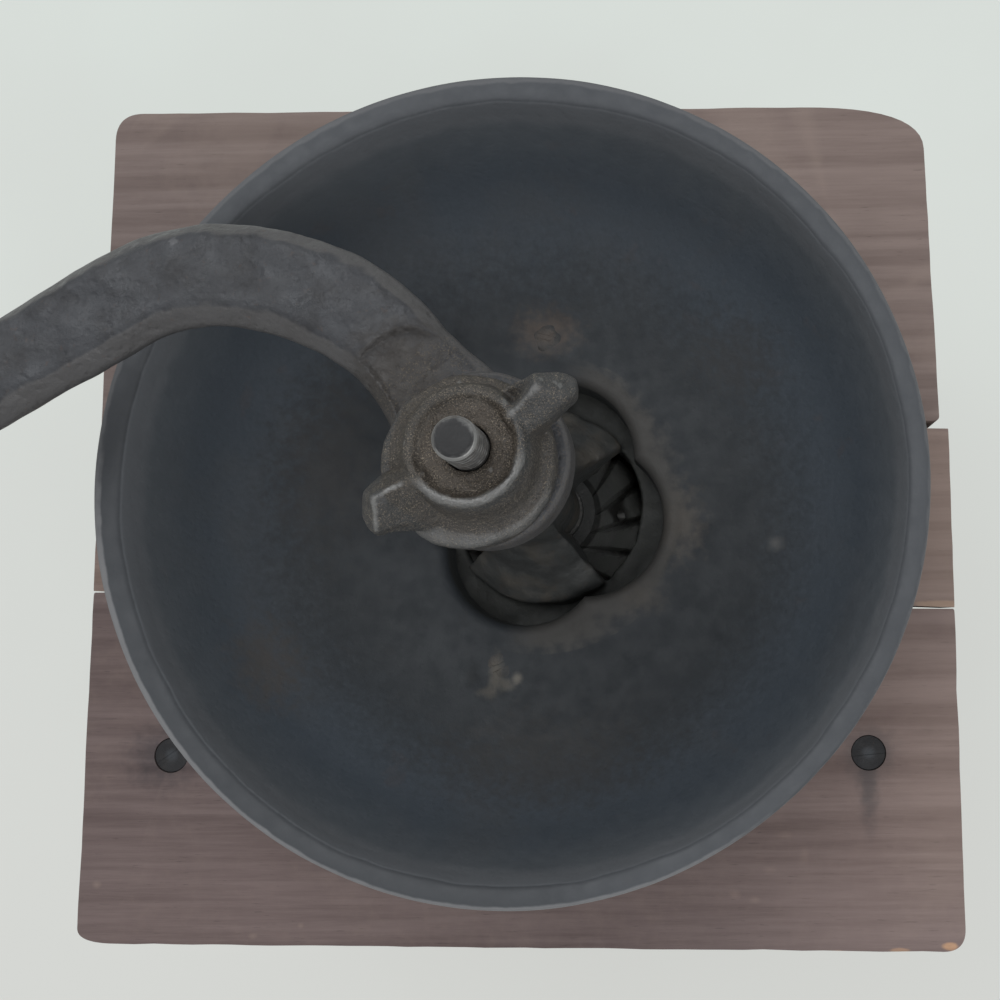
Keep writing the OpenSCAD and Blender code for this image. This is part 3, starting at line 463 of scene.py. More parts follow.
@dataclass(frozen=True)
class Ringband:
    """A ring of another colour round the crank's axis, in millimetres and degrees."""

    radii: tuple[float, float]
    heights: tuple[float, float]
    colour: Colour = (0.0, 0.0, 0.0)
    strength: float = 1.0
    soft: float = 0.4
    ragged: float = 0.6
    toward: float = 0.0
    lobe: float = -2.0

    def mask(self, sheet: Sheet, place: object) -> bpy.types.NodeSocket:
        """Where the ring lies.

        Args:
            sheet: The material's sheet.
            place: Position in millimetres.

        Returns:
            The mask with the ring's strength.
        """
        way = math.radians(self.toward)
        found = BAND.use(sheet, Place=place, Inside=self.radii[0], Outside=self.radii[1],
                         Low=self.heights[0], High=self.heights[1], Soft=self.soft,
                         Ragged=self.ragged, Toward=(math.cos(way), math.sin(way), 0.0),
                         Lobe=self.lobe)["Mask"]
        return sheet.math("MULTIPLY", found, self.strength)


@dataclass(frozen=True)
class Stroke:
    """A rubbed line between two points, in millimetres, painted as a highlight."""

    start: Point
    end: Point
    strength: float = 0.6
    reach: float = 0.9
    ragged: float = 0.7

    def mask(self, sheet: Sheet, place: object) -> bpy.types.NodeSocket:
        """Where the line lies.

        Args:
            sheet: The material's sheet.
            place: Position in millimetres.

        Returns:
            The mask with the line's strength.
        """
        found = STROKE.use(sheet, Place=place, Start=self.start, End=self.end,
                           Reach=self.reach, Ragged=self.ragged)["Mask"]
        return sheet.math("MULTIPLY", found, self.strength)


def paint_spots(sheet: Sheet, place: object, colour: object,
                spots: Sequence[Spot]) -> bpy.types.NodeSocket:
    """Lays patches over a colour.

    Args:
        sheet: The material's sheet.
        place: Position in millimetres.
        colour: What lies under the patches.
        spots: The patches, from first to last.

    Returns:
        The colour with its patches.
    """
    for spot in spots:
        colour = sheet.blend(spot.mask(sheet, place), colour, spot.colour)
    return colour


def paint_bands(sheet: Sheet, place: object, colour: object,
                bands: Sequence[Ringband]) -> bpy.types.NodeSocket:
    """Lays rings round the crank's axis over a colour, as paint_spots() lays patches."""
    for band in bands:
        colour = sheet.blend(band.mask(sheet, place), colour, band.colour)
    return colour


def scaled(colour: Colour, share: float) -> Colour:
    """A colour made lighter or darker."""
    return (colour[0] * share, colour[1] * share, colour[2] * share)


def new_material(name: str) -> tuple[bpy.types.Material, Sheet, bpy.types.Node]:
    """Starts a material.

    Args:
        name: The material's name.

    Returns:
        The material, its sheet and its Principled BSDF.
    """
    material = bpy.data.materials.new(name)
    material.use_nodes = True
    material.node_tree.nodes.clear()
    sheet = Sheet(material.node_tree)
    shader = sheet.add("BsdfPrincipled")
    sheet.add("OutputMaterial", {"Surface": shader.outputs[0]})
    return material, sheet, shader


@dataclass(frozen=True)
class WoodFinish:
    """Old bare wood, darkened by use."""

    name: str
    base: Colour
    worn: Colour
    spread: float = 0.16
    grain: Grain = Grain.ALONG_X
    seed: Point = (0.0, 0.0, 0.0)
    heart: Point = (0.0, -14.0, 60.0)
    ring_width: float = 3.4
    ring_tone: float = 0.15
    wander: float = 16.0
    pores: float = 0.35
    cloud: float = 0.12
    wear: float = 0.5
    wear_from: float = 0.55
    rough: tuple[float, float] = (0.6, 0.8)
    relief: float = 0.1
    spots: tuple[Spot, ...] = ()

    @cache
    def make(self) -> bpy.types.Material:
        """Builds the material the first time, and gives the same one later.

        Returns:
            The material.
        """
        material, sheet, shader = new_material(self.name)
        place = PLACE.use(sheet, Seed=self.seed)
        turn = {Grain.ALONG_X: (0, 0, 0), Grain.ALONG_Y: (0, 0, -math.pi / 2),
                Grain.ALONG_Z: (0, math.pi / 2, 0)}[self.grain]
        along = sheet.add("Mapping", {"Vector": place["Seeded"], "Rotation": turn})
        grain = GRAIN.use(sheet, Place=along.outputs[0], Heart=self.heart,
                          Ring_Width=self.ring_width, Wander=self.wander,
                          Ring_Tone=self.ring_tone)
        colour = paint_spots(sheet, place["Place"], self.base, self.spots)
        tone = sheet.blend(grain["Tone"], scaled((1, 1, 1), 1 + self.spread),
                           (1 - self.spread, 1 - 1.1 * self.spread, 1 - 1.1 * self.spread))
        colour = sheet.blend(1.0, colour, tone, "MULTIPLY")
        cloud = BLOTCHES.use(sheet, Place=along.outputs[0], Scale=0.04, Low=0.45, High=0.75)
        colour = sheet.blend(sheet.math("MULTIPLY", cloud["Mask"], self.cloud), colour,
                             scaled(self.base, 0.45))
        colour = sheet.blend(sheet.math("MULTIPLY", grain["Pores"], self.pores), colour,
                             scaled(self.base, 0.3))
        wear = EDGE_WEAR.use(sheet, Place=place["Seeded"], Scale=0.25, From=self.wear_from,
                             To=self.wear_from + 0.08, Breakup=0.1, Hollow=0.47)
        colour = sheet.blend(sheet.math("MULTIPLY", wear["Worn"], self.wear), colour, self.worn)
        sheet.put(shader.inputs["Base Color"], colour)
        sheet.put(shader.inputs["Roughness"], sheet.span(grain["Tone"], 0.0, 1.0, *self.rough))
        shader.inputs["Specular IOR Level"].default_value = 0.3
        bump = sheet.add("Bump", {"Strength": self.relief, "Distance": MM,
                                  "Height": grain["Height"]})
        sheet.put(shader.inputs["Normal"], bump.outputs[0])
        return material


@dataclass(frozen=True)
class IronFinish:
    """Cast iron with its patina: blotches, rust, dust, grit and rubbed edges, and painted shade and
    highlights.
    """

    name: str
    base: Colour
    blotch: Colour
    worn: Colour
    # Dust colour for what faces up; on the bowl it is painted shade.
    dust_and_shade: Colour = (0.10, 0.085, 0.07)
    rust: Colour = (0.10, 0.055, 0.035)
    grit: Colour = (0.20, 0.16, 0.12)
    seed: Point = (0.0, 0.0, 0.0)
    blotch_scale: float = 0.05
    blotch_range: tuple[float, float] = (0.45, 0.7)
    blotch_strength: float = 0.5
    rust_strength: float = 0.2
    wear_from: float = 0.53
    wear_to: float = 0.6
    wear: float = 0.8
    dust_and_shade_strength: float = 0.3
    dust_and_shade_from: float = 0.75
    speck: float = 1.6
    grains: float = 0.0
    pits: float = 0.0
    # Strength of the darkening in hollows: painted shade with grime.
    hollow: float = 0.4
    # Tone on tilted faces and its strength, lightened as painted light where they get less light.
    slope_tone_and_light: float = 0.0
    slope_tone_and_light_colour: Colour = (0.1, 0.1, 0.1)
    rough: tuple[float, float] = (0.45, 0.62)
    metallic: float = 0.2
    relief: float = 0.4
    relief_scale: float = 0.45
    spots: tuple[Spot, ...] = ()
    bands: tuple[Ringband, ...] = ()
    gritty: tuple[Ringband, ...] = ()
    # Marks that take the worn colour: real wear with painted highlights.
    polished_and_highlit: tuple[Ringband | Stroke, ...] = ()

    def patina(self, sheet: Sheet, seeded: object) -> bpy.types.NodeSocket:
        """Mixes the even cast skin with blotches, rust and a tone on tilted faces, partly painted light.

        Args:
            sheet: The material's sheet.
            seeded: Position in millimetres, moved by the seed.

        Returns:
            The colour.
        """
        cloud = BLOTCHES.use(sheet, Place=seeded, Scale=self.blotch_scale,
                             Low=self.blotch_range[0], High=self.blotch_range[1])["Mask"]
        rust = BLOTCHES.use(sheet, Place=seeded, Scale=self.blotch_scale * 4.3, Low=0.62,
                            High=0.7)["Mask"]
        fine = sheet.noise(seeded, 1.1, 3.0, 0.7)
        colour = sheet.blend(sheet.math("MULTIPLY", cloud, self.blotch_strength), self.base,
                             self.blotch)
        colour = sheet.blend(sheet.span(fine, 0.3, 0.75, 0.0, 0.25), colour,
                             scaled(self.base, 1.5))
        # Tilted faces take a tone that is partly their own, partly painted light.
        if self.slope_tone_and_light:
            tilt = TILTED.use(sheet, Place=seeded)["Mask"]
            colour = sheet.blend(sheet.math("MULTIPLY", tilt, self.slope_tone_and_light), colour,
                                 self.slope_tone_and_light_colour)
        return sheet.blend(sheet.math("MULTIPLY", rust, self.rust_strength), colour, self.rust)

    @cache
    def make(self) -> bpy.types.Material:
        """Builds the material the first time, and gives the same one later.

        Returns:
            The material.
        """
        material, sheet, shader = new_material(self.name)
        place = PLACE.use(sheet, Seed=self.seed)
        seeded = place["Seeded"]
        colour = self.patina(sheet, seeded)
        # Dust on what faces up; on the bowl this mask paints shade.
        dust_and_shade = SETTLED.use(sheet, Place=seeded, Scale=0.12, Speck=self.speck, From=self.dust_and_shade_from,
                           To=self.dust_and_shade_from + 0.6)
        colour = sheet.blend(sheet.math("MULTIPLY", dust_and_shade["Mask"], self.dust_and_shade_strength), colour,
                             self.dust_and_shade)
        colour = paint_spots(sheet, place["Place"], colour, self.spots)
        colour = paint_bands(sheet, place["Place"], colour, self.bands)
        specks = SPECKS.use(sheet, Place=seeded, Scale=self.speck)
        share: object = self.grains
        for band in self.gritty:
            share = sheet.math("MAXIMUM", share, band.mask(sheet, place["Place"]))
        if self.grains or self.gritty:
            colour = sheet.blend(sheet.math("MULTIPLY", specks["Grains"], share), colour,
                                 self.grit)
            colour = sheet.blend(sheet.math("MULTIPLY", specks["Pits"], sheet.math(
                "MAXIMUM", share, self.pits)), colour, scaled(self.base, 0.45))
        wear = EDGE_WEAR.use(sheet, Place=seeded, Scale=0.5, From=self.wear_from, To=self.wear_to,
                             Breakup=0.08, Hollow=0.485)
        # Hollows darkened towards 40 % of the base colour: painted shade with grime.
        colour = sheet.blend(sheet.math("MULTIPLY", wear["Hollow"], self.hollow), colour,
                             scaled(self.base, 0.4))
        # Edge wear from pointiness plus the listed marks, which are painted highlights with wear.
        rubbed_and_highlit: object = sheet.math("MULTIPLY", wear["Worn"], self.wear)
        for mark in self.polished_and_highlit:
            rubbed_and_highlit = sheet.math("MAXIMUM", rubbed_and_highlit, mark.mask(sheet, place["Place"]))
        colour = sheet.blend(rubbed_and_highlit, colour, self.worn)
        sheet.put(shader.inputs["Base Color"], colour)
        sheet.put(shader.inputs["Metallic"], sheet.span(rubbed_and_highlit, 0.0, 1.0, self.metallic, 0.8))
        matt = sheet.span(sheet.noise(seeded, 0.3, 3.0), 0.3, 0.7, *self.rough)
        matt = sheet.math("ADD", matt, sheet.math("MULTIPLY", dust_and_shade["Mask"], 0.25), clamp=True)
        sheet.put(shader.inputs["Roughness"], sheet.math(
            "SUBTRACT", matt, sheet.math("MULTIPLY", rubbed_and_highlit, 0.15), clamp=True))
        shader.inputs["Specular IOR Level"].default_value = 0.4
        skin = CAST_SKIN.use(sheet, Place=seeded, Scale=self.relief_scale)["Height"]
        raised = sheet.math("MULTIPLY", specks["Grains"], 0.5 * max(self.grains, 0.2))
        bump = sheet.add("Bump", {"Strength": self.relief, "Distance": 0.4 * MM,
                                  "Height": sheet.math("ADD", skin, raised)})
        sheet.put(shader.inputs["Normal"], bump.outputs[0])
        return material


PLANK_BACK = WoodFinish(
    "plank_back_wood", (0.198, 0.152, 0.136), (0.27, 0.21, 0.18), seed=(31, 7, 0),
    heart=(0, 120, 30), wander=6.0, spread=0.2, wear=0.3, spots=(
        Spot((-70, 50, 120), (70, 70, 70), (0.168, 0.130, 0.120), 1.0, 0.0, 0.1),
        Spot((-67.1, 65.8, 120), (1.6, 0.8, 3), (0.27, 0.21, 0.18), 0.4, 0.0),
        Spot((-73, 40, 120), (8, 8, 8), (0.11, 0.088, 0.085), 0.45, 0.0, 0.4)))
PLANK_MIDDLE = WoodFinish(
    "plank_middle_wood", (0.216, 0.161, 0.143), (0.28, 0.21, 0.17), seed=(-57, 90, 0),
    heart=(0, 30, 45), wander=6.0, spread=0.22, wear=0.35, spots=(
        Spot((87, -19.9, 120), (6, 1.0, 3), (0.40, 0.28, 0.20), 0.7),
        Spot((-85, -13, 120), (12, 5, 5), (0.27, 0.20, 0.16), 0.5, 0.1)))
PLANK_FRONT = WoodFinish(
    "plank_front_wood", (0.150, 0.112, 0.106), (0.27, 0.205, 0.175), seed=(12, -140, 0),
    heart=(0, -220, 30), wander=6.0, spread=0.27, wear=0.3, spots=(
        Spot((85, -52, 120), (62, 60, 60), (0.213, 0.157, 0.142), 1.0, 0.0, 0.1),
        # Painted shadow of the bowl along the middle of the front edge.
        Spot((15, -90, 120), (60, 14, 20), (0.122, 0.090, 0.086), 0.9, 0.1, 0.3),
        Spot((-73.5, -50.5, 120), (11, 9, 9), (0.055, 0.048, 0.052), 0.75, 0.1, 0.7),
        Spot((72.0, -50, 120), (8, 8, 9), (0.100, 0.085, 0.085), 0.8, 0.1, 0.6),
        Spot((71.7, -56, 120), (3.2, 8, 9), (0.105, 0.088, 0.086), 0.7, 0.1, 0.7),
        Spot((71.9, -58, 120), (2.6, 12, 9), (0.100, 0.083, 0.082), 0.6, 0.1, 0.8),
        Spot((-86.4, -76, 120), (1.3, 1.1, 3), (0.27, 0.205, 0.175), 0.45, 0.0),
        Spot((-53.7, -86.1, 120), (1.2, 0.8, 3), (0.25, 0.19, 0.16), 0.4, 0.0),
        Spot((-43.9, -84.1, 120), (1.0, 0.9, 3), (0.25, 0.19, 0.16), 0.4, 0.0),
        Spot((44.4, -78, 120), (1.7, 1.4, 3), (0.25, 0.185, 0.16), 0.4, 0.0),
        Spot((48.4, -79, 120), (1.6, 1.1, 3), (0.25, 0.185, 0.16), 0.35, 0.0),
        Spot((54.7, -66.3, 120), (2.4, 1.2, 3), (0.25, 0.185, 0.16), 0.4, 0.0),
        Spot((58.6, -70.2, 120), (1.4, 2.6, 3), (0.25, 0.185, 0.16), 0.35, 0.0),
        Spot((51.5, -73.1, 120), (1.8, 1.2, 3), (0.25, 0.185, 0.16), 0.35, 0.0),
        Spot((87.2, -88.0, 119), (2.0, 1.0, 3), (0.50, 0.29, 0.16), 0.7),
        Spot((77.2, -88.8, 119), (2.6, 0.7, 3), (0.42, 0.26, 0.16), 0.6),
        Spot((64.8, -89.2, 119), (2.2, 0.6, 3), (0.40, 0.25, 0.16), 0.55)))
BOX_WOOD = WoodFinish(
    "box_wood_across", (0.205, 0.146, 0.118), (0.30, 0.22, 0.17), seed=(5, 230, 11),
    spread=0.28, ring_tone=0.3, cloud=0.3, rough=(0.5, 0.7), wear=0.15)
BOX_WOOD_SIDE = WoodFinish(
    "box_wood_side", (0.202, 0.144, 0.118), (0.30, 0.22, 0.17), seed=(77, 3, 40), spread=0.28,
    ring_tone=0.3, cloud=0.3, grain=Grain.ALONG_Y, rough=(0.5, 0.7), wear=0.15)
PALE_WOOD = WoodFinish(
    "pale_wood_across", (0.40, 0.28, 0.17), (0.5, 0.38, 0.26), seed=(9, 9, 70), spread=0.2,
    ring_tone=0.3, cloud=0.3)
PALE_WOOD_SIDE = WoodFinish(
    "pale_wood_side", (0.39, 0.27, 0.165), (0.5, 0.38, 0.26), seed=(40, 9, 7), spread=0.2,
    ring_tone=0.3, cloud=0.3, grain=Grain.ALONG_Y)
KNOB_WOOD = WoodFinish(
    "knob_wood_turned", (0.115, 0.060, 0.037), (0.24, 0.15, 0.10), seed=(3, 1, 5), spread=0.35,
    ring_tone=0.3, ring_width=2.2, wander=5, grain=Grain.ALONG_Z, rough=(0.28, 0.42),
    relief=0.05)
PULL_WOOD = WoodFinish(
    "pull_wood_turned", (0.115, 0.060, 0.037), (0.24, 0.15, 0.10), seed=(23, 1, 5), spread=0.35,
    ring_tone=0.3, ring_width=2.2, wander=5, grain=Grain.ALONG_Y, rough=(0.28, 0.42),
    relief=0.05)
BOWL_IRON = IronFinish(
    "bowl_iron", (0.044, 0.054, 0.066), (0.060, 0.059, 0.058), (0.13, 0.135, 0.14),
    # On the bowl, what faces up is darkened to a blue-grey: painted shade.
    blotch_scale=0.03, blotch_strength=0.35, rust_strength=0.1, dust_and_shade=(0.027, 0.031, 0.036),
    dust_and_shade_strength=0.75, dust_and_shade_from=0.88, wear_from=0.55, wear=0.5, relief=0.22, hollow=0.2,
    rough=(0.55, 0.7), metallic=0.05,
    spots=(
        # Painted shade: the bowl's floor darkened against the light it gets from above.
        Spot((5, -4, 124), (70, 70, 26), (0.0165, 0.0190, 0.0215), 0.85, 0.6, 0.25),
        Spot((-45.5, -30.9, 138.6), (10, 14, 10), (0.070, 0.060, 0.052), 0.6, 0.0, 1.4),
        Spot((6.0, 37.5, 124.5), (10, 7, 6), (0.080, 0.061, 0.049), 0.75, 0.0, 1.2),
        Spot((8, -50, 132), (30, 14, 16), (0.040, 0.037, 0.035), 0.45, 0.0, 1.5),
        # Painted shadow of the crank arm on the bowl's left wall.
        Spot((-38, 8, 128), (14, 24, 14), (0.036, 0.034, 0.033), 0.5, 0.0, 1.5),
        Spot((46, 30, 131), (16, 12, 12), (0.038, 0.037, 0.037), 0.5, 0.0, 1.5),
        Spot((34, -3, 124), (7, 11, 6), (0.078, 0.068, 0.058), 0.75, 0.0, 1.3),
        Spot((26, -18, 124), (7, 5, 6), (0.070, 0.062, 0.054), 0.7, 0.0, 1.2),
        Spot((53.0, -7.7, 128.9), (2.4, 2.2, 4), (0.13, 0.125, 0.12), 0.5, 0.1, 0.9),
        Spot((-41, -47, 157), (5, 5, 6), (0.085, 0.082, 0.08), 0.7, 0.1, 1.4),
        # Painted shadow: the dark crescent in the lower screw's crater, on its left.
        Spot((-8.4, -33.7, 124.6), (2.4, 3.8, 4), (0.010, 0.012, 0.014), 0.7, 0.0, 0.8),
        Spot((-3.7, -33.4, 124.5), (2.0, 5.6, 4), (0.105, 0.094, 0.078), 0.8, 0.1, 0.8),
        Spot((-5.0, -37.2, 124.6), (3.4, 1.7, 4), (0.085, 0.076, 0.064), 0.7, 0.0, 0.8),
        Spot((-1.6, -35.6, 124.6), (3.0, 2.0, 4), (0.095, 0.086, 0.072), 0.7, 0.0, 0.8),
        Spot((0.6, -34.4, 124.7), (2.0, 1.6, 4), (0.150, 0.138, 0.118), 0.8, 0.1, 0.8),
        Spot((-24.0, -59.5, 157.7), (1.3, 1.0, 2), (0.28, 0.12, 0.06), 0.7),
        Spot((25.4, -65.7, 161), (1.2, 1.0, 2), (0.26, 0.15, 0.09), 0.7)),
    # Painted light: the upper wall lighter towards the lip, and the steep wall under the lip lifted
    # against its shade.
    bands=(Ringband((50.0, 90.0), (158.0, 182.0), (0.108, 0.118, 0.128), 0.85, 18.0, 2.5),
           Ringband((50.0, 68.8), (156.0, 170.0), (0.138, 0.145, 0.155), 0.8, 4.0, 1.6),
           Ringband((60.0, 90.0), (160.5, 170.0), (0.058, 0.062, 0.069), 0.85, 0.5, 0.4),
           Ringband((60.0, 90.0), (160.6, 170.0), (0.040, 0.043, 0.047), 0.5, 0.4, 0.4,
                    toward=218.0, lobe=0.3),
           # Painted highlight with edge wear: the rim's outer edge lighter all round and bright towards
           # the front left.
           Ringband((72.6, 76.0), (158.0, 170.0), (0.15, 0.15, 0.155), 0.5, 0.6, 1.3),
           Ringband((72.0, 80.0), (158.0, 170.0), (0.22, 0.22, 0.225), 0.7, 0.5, 0.7,
                    toward=242.0, lobe=0.3),
           Ringband((14.0, 31.0), (121.8, 123.75), (0.060, 0.055, 0.049), 0.65, 0.4, 0.8,
                    toward=-12.0, lobe=-0.1),
           # Painted shade: the throat's collar wall below the lip darkened.
           Ringband((10.0, 32.0), (100.0, 121.4), (0.029, 0.031, 0.030), 0.85, 0.5, 0.6)))
COLUMN_IRON = IronFinish(
    "column_iron", (0.049, 0.051, 0.050), (0.086, 0.075, 0.061), (0.085, 0.08, 0.072),
    blotch_scale=0.11, blotch_strength=0.75, dust_and_shade=(0.095, 0.084, 0.068), dust_and_shade_strength=0.5,
    dust_and_shade_from=0.6, relief_scale=0.6, relief=0.3,
    bands=(Ringband((12.0, 40.0), (100.0, 110.9), (0.041, 0.043, 0.041), 0.9, 0.6, 0.8),))
ARM_IRON = IronFinish(
    "arm_iron_cast", (0.044, 0.046, 0.051), (0.026, 0.026, 0.028), (0.19, 0.19, 0.195),
    blotch_scale=0.2, blotch_strength=0.75, dust_and_shade=(0.085, 0.078, 0.070), dust_and_shade_strength=0.25, dust_and_shade_from=0.85,
    # The arm's sloped bands: a browner tone, lightened as painted light where they get less light.
    wear_from=0.52, wear_to=0.6, wear=0.3, rough=(0.4, 0.56), relief=0.7, slope_tone_and_light=0.6,
    slope_tone_and_light_colour=(0.108, 0.103, 0.101), grit=(0.13, 0.108, 0.082), speck=3.4,
    spots=(Spot((-7.5, 15.0, 184), (12, 12, 8), (0.038, 0.033, 0.029), 0.85, 0.3, 0.7),),
    gritty=(Ringband((12.0, 19.0), (178.0, 190.0), strength=0.75, soft=3.0, ragged=3.0),))
NUT_IRON = IronFinish(
    "nut_iron_worn", (0.056, 0.057, 0.058), (0.070, 0.062, 0.052), (0.28, 0.28, 0.275),
    blotch_scale=0.16, dust_and_shade=(0.115, 0.098, 0.08), dust_and_shade_strength=0.3, dust_and_shade_from=0.8, speck=4.8,
    grit=(0.30, 0.255, 0.20), grains=0.8, pits=0.7, wear_from=0.53, wear_to=0.62, wear=0.35,
    rough=(0.38, 0.52), metallic=0.35, relief=0.6, relief_scale=1.1,
    bands=(Ringband((0.0, 7.4), (196.0, 198.6), (0.066, 0.054, 0.043), 0.9, 0.5, 0.7),
           Ringband((9.4, 12.0), (189.0, 196.0), (0.072, 0.062, 0.053), 0.5, 0.9, 1.6),
           Ringband((6.8, 12.4), (190.0, 200.0), (0.060, 0.053, 0.045), 0.7, 0.6, 1.4,
                    toward=140.0, lobe=-0.1)),
    gritty=(Ringband((0.0, 8.8), (196.0, 199.6), strength=1.0, soft=0.7, ragged=1.0),
            Ringband((0.0, 12.8), (189.0, 200.0), strength=0.8, soft=0.9, ragged=2.0,
                     toward=140.0, lobe=-0.2)),
    # Painted highlights with wear: the dish crest and flange lip bright on the front side, and bright
    # lines along the ears' ridges.
    polished_and_highlit=(Ringband((7.6, 8.5), (197.6, 199.2), strength=0.6, soft=0.45, ragged=1.3,
                       toward=285.0, lobe=0.25),
              Ringband((12.3, 15.0), (189.6, 191.0), strength=0.3, soft=0.8, ragged=2.4,
                       toward=268.0, lobe=0.2),
              Stroke((-7.0, -5.8, 200.6), (-7.6, -10.0, 196.9), 0.85, 0.8),
              Stroke((-7.0, -5.8, 200.6), (-3.6, -3.8, 199.4), 0.75, 0.8),
              Stroke((-7.0, -5.8, 200.6), (-7.05, -6.2, 200.5), 0.6, 1.3),
              Stroke((11.6, 5.9, 199.0), (13.8, 8.2, 200.0), 0.6, 1.0),
              Stroke((13.8, 8.2, 200.0), (15.4, 9.3, 200.1), 0.45, 0.9)))
SHAFT_STEEL = IronFinish(
    "shaft_steel_turned", (0.060, 0.058, 0.056), (0.088, 0.071, 0.056), (0.33, 0.33, 0.32),
    blotch_scale=0.4, dust_and_shade=(0.12, 0.10, 0.085), dust_and_shade_strength=0.1, dust_and_shade_from=0.9, speck=3.0,
    wear_from=0.522, wear_to=0.57, rough=(0.4, 0.5), metallic=0.25, relief=0.12,
    relief_scale=1.2,
    # Painted shade: the shaft's flat end darkened against the light it reflects from above.
    bands=(Ringband((0.0, 2.72), (204.0, 206.0), (0.019, 0.019, 0.020), 1.0, 0.06, 0.1),),
    # Painted highlight with wear on the top of the thread, on the front right.
    polished_and_highlit=(Ringband((2.76, 3.4), (203.4, 204.7), strength=0.6, soft=0.1, ragged=0.3,
                       toward=295.0, lobe=-0.1),))
SCREW_STEEL = IronFinish(
    "screw_steel_rusty", (0.042, 0.040, 0.040), (0.075, 0.050, 0.038), (0.16, 0.15, 0.14),
    blotch_scale=0.3, rust_strength=0.6, dust_and_shade_strength=0.3, wear_from=0.6, relief=0.3,
    relief_scale=1.2, metallic=0.4)
STAINED_SCREW = IronFinish(
    "screw_steel_stained", (0.019, 0.019, 0.021), (0.028, 0.026, 0.025), (0.05, 0.05, 0.052),
    blotch_scale=0.4, dust_and_shade_strength=0.1, wear_from=0.6, relief=0.3, relief_scale=1.2,
    metallic=0.1, rough=(0.55, 0.7),
    spots=tuple(Spot((x, y, 119.8), (1.8, 1.8, 4), (0.056, 0.061, 0.068), 0.8, 0.2, 0.6)
                for x in (-72.0, 72.0) for y in (-50.0, 0.0, 40.0)))
CRUSTED_SCREW = IronFinish(
    "screw_steel_crusted", (0.030, 0.031, 0.032), (0.042, 0.036, 0.032), (0.06, 0.056, 0.052),
    blotch_scale=0.35, blotch_strength=0.7, rust_strength=0.1, dust_and_shade_strength=0.2, wear_from=0.6,
    relief=0.5, relief_scale=0.9, metallic=0.1,
    spots=(Spot((6.0, 36.4, 124), (3.2, 3.0, 4), (0.072, 0.058, 0.048), 0.8, 0.2, 0.9),
           Spot((-3.7, -33.4, 125), (2.0, 5.6, 4), (0.105, 0.094, 0.078), 0.85, 0.1, 0.8)))
PLAIN_IRON = IronFinish(
    "works_iron", (0.055, 0.054, 0.052), (0.085, 0.07, 0.055), (0.16, 0.15, 0.14),
    rust_strength=0.45, relief_scale=0.5)
# The fixed burr deep under the board: a pale tone, partly coffee dust and partly painted light against the
# shade it sits in.
DUST_AND_LIGHT_IRON = IronFinish(
    "works_iron_dust_and_painted_light", (0.360, 0.368, 0.354), (0.290, 0.280, 0.258), (0.36, 0.345, 0.33),
    blotch_scale=0.1, dust_and_shade=(0.260, 0.248, 0.225), rust_strength=0.1, hollow=0.1, relief_scale=0.5,
    metallic=0.0)
BURR_IRON = IronFinish(
    "works_iron_burr", (0.130, 0.134, 0.130), (0.105, 0.102, 0.094), (0.13, 0.125, 0.12),
    blotch_scale=0.1, dust_and_shade=(0.095, 0.090, 0.082), rust_strength=0.1, hollow=0.1, relief_scale=0.5,
    metallic=0.0,
    # Painted light on the outer teeth deep in the throat, then painted shade round the shaft.
    bands=(Ringband((18.0, 40.0), (60.0, 140.0), (0.46, 0.47, 0.45), 1.0, 7.0, 0.6),
           Ringband((0.0, 10.5), (60.0, 140.0), (0.034, 0.035, 0.034), 0.95, 0.4, 0.3)))


# Meshes


def new_piece(name: str, points: Iterable[Point], faces: Iterable[Sequence[int]]) -> bpy.types.Object:
    """Makes an object from points in millimetres.

    Args:
        name: The piece's name.
        points: Its vertices.
        faces: Its faces, by vertex number.

    Returns:
        The object, linked to the scene.
    """
    mesh = bpy.data.meshes.new(name)
    mesh.from_pydata([tuple(c * MM for c in p) for p in points], [], [tuple(f) for f in faces])
    mesh.validate()
    return link_mesh(name, mesh)


def link_mesh(name: str, mesh: bpy.types.Mesh) -> bpy.types.Object:
    """Puts a mesh in the scene as an object of that name."""
    piece = bpy.data.objects.new(name, mesh)
    mesh.name = name
    bpy.context.scene.collection.objects.link(piece)
    return piece


def ring_stack(rings: Sequence[Ring], loop: bool = False) -> tuple[Ring, list[tuple[int, ...]]]:
    """Joins rings of equal length into a closed skin.

    Args:
        rings: Rings of points, each the same way round.
        loop: Whether the last ring joins the first; if not, both ends are capped.

    Returns:
        The points and the faces.
    """
    count = len(rings[0])
    points = [p for ring in rings for p in ring]
    faces: list[tuple[int, ...]] = []
    last = len(rings) if loop else len(rings) - 1
    for k in range(last):
        low, high = k * count, ((k + 1) % len(rings)) * count
        for i in range(count):
            j = (i + 1) % count
            faces.append((low + i, low + j, high + j, high + i))
    if not loop:
        faces.append(tuple(reversed(range(count))))
        faces.append(tuple(range((len(rings) - 1) * count, len(rings) * count)))
    return points, faces


def lathe(profile: Sequence[tuple[float, float]], count: int, centre: Point = (0, 0, 0),
          loop: bool = False) -> tuple[Ring, list[tuple[int, ...]]]:
    """Turns a profile round a vertical axis.

    Args:
        profile: Radius and height of each ring.
        count: Points round each ring.
        centre: Where the axis stands.
        loop: Whether the profile closes on itself.

    Returns:
        The points and the faces.
    """
    turns = [(math.cos(TAU * i / count), math.sin(TAU * i / count)) for i in range(count)]
    rings = [[(centre[0] + r * c, centre[1] + r * s, centre[2] + z) for c, s in turns]
             for r, z in profile]
    return ring_stack(rings, loop)


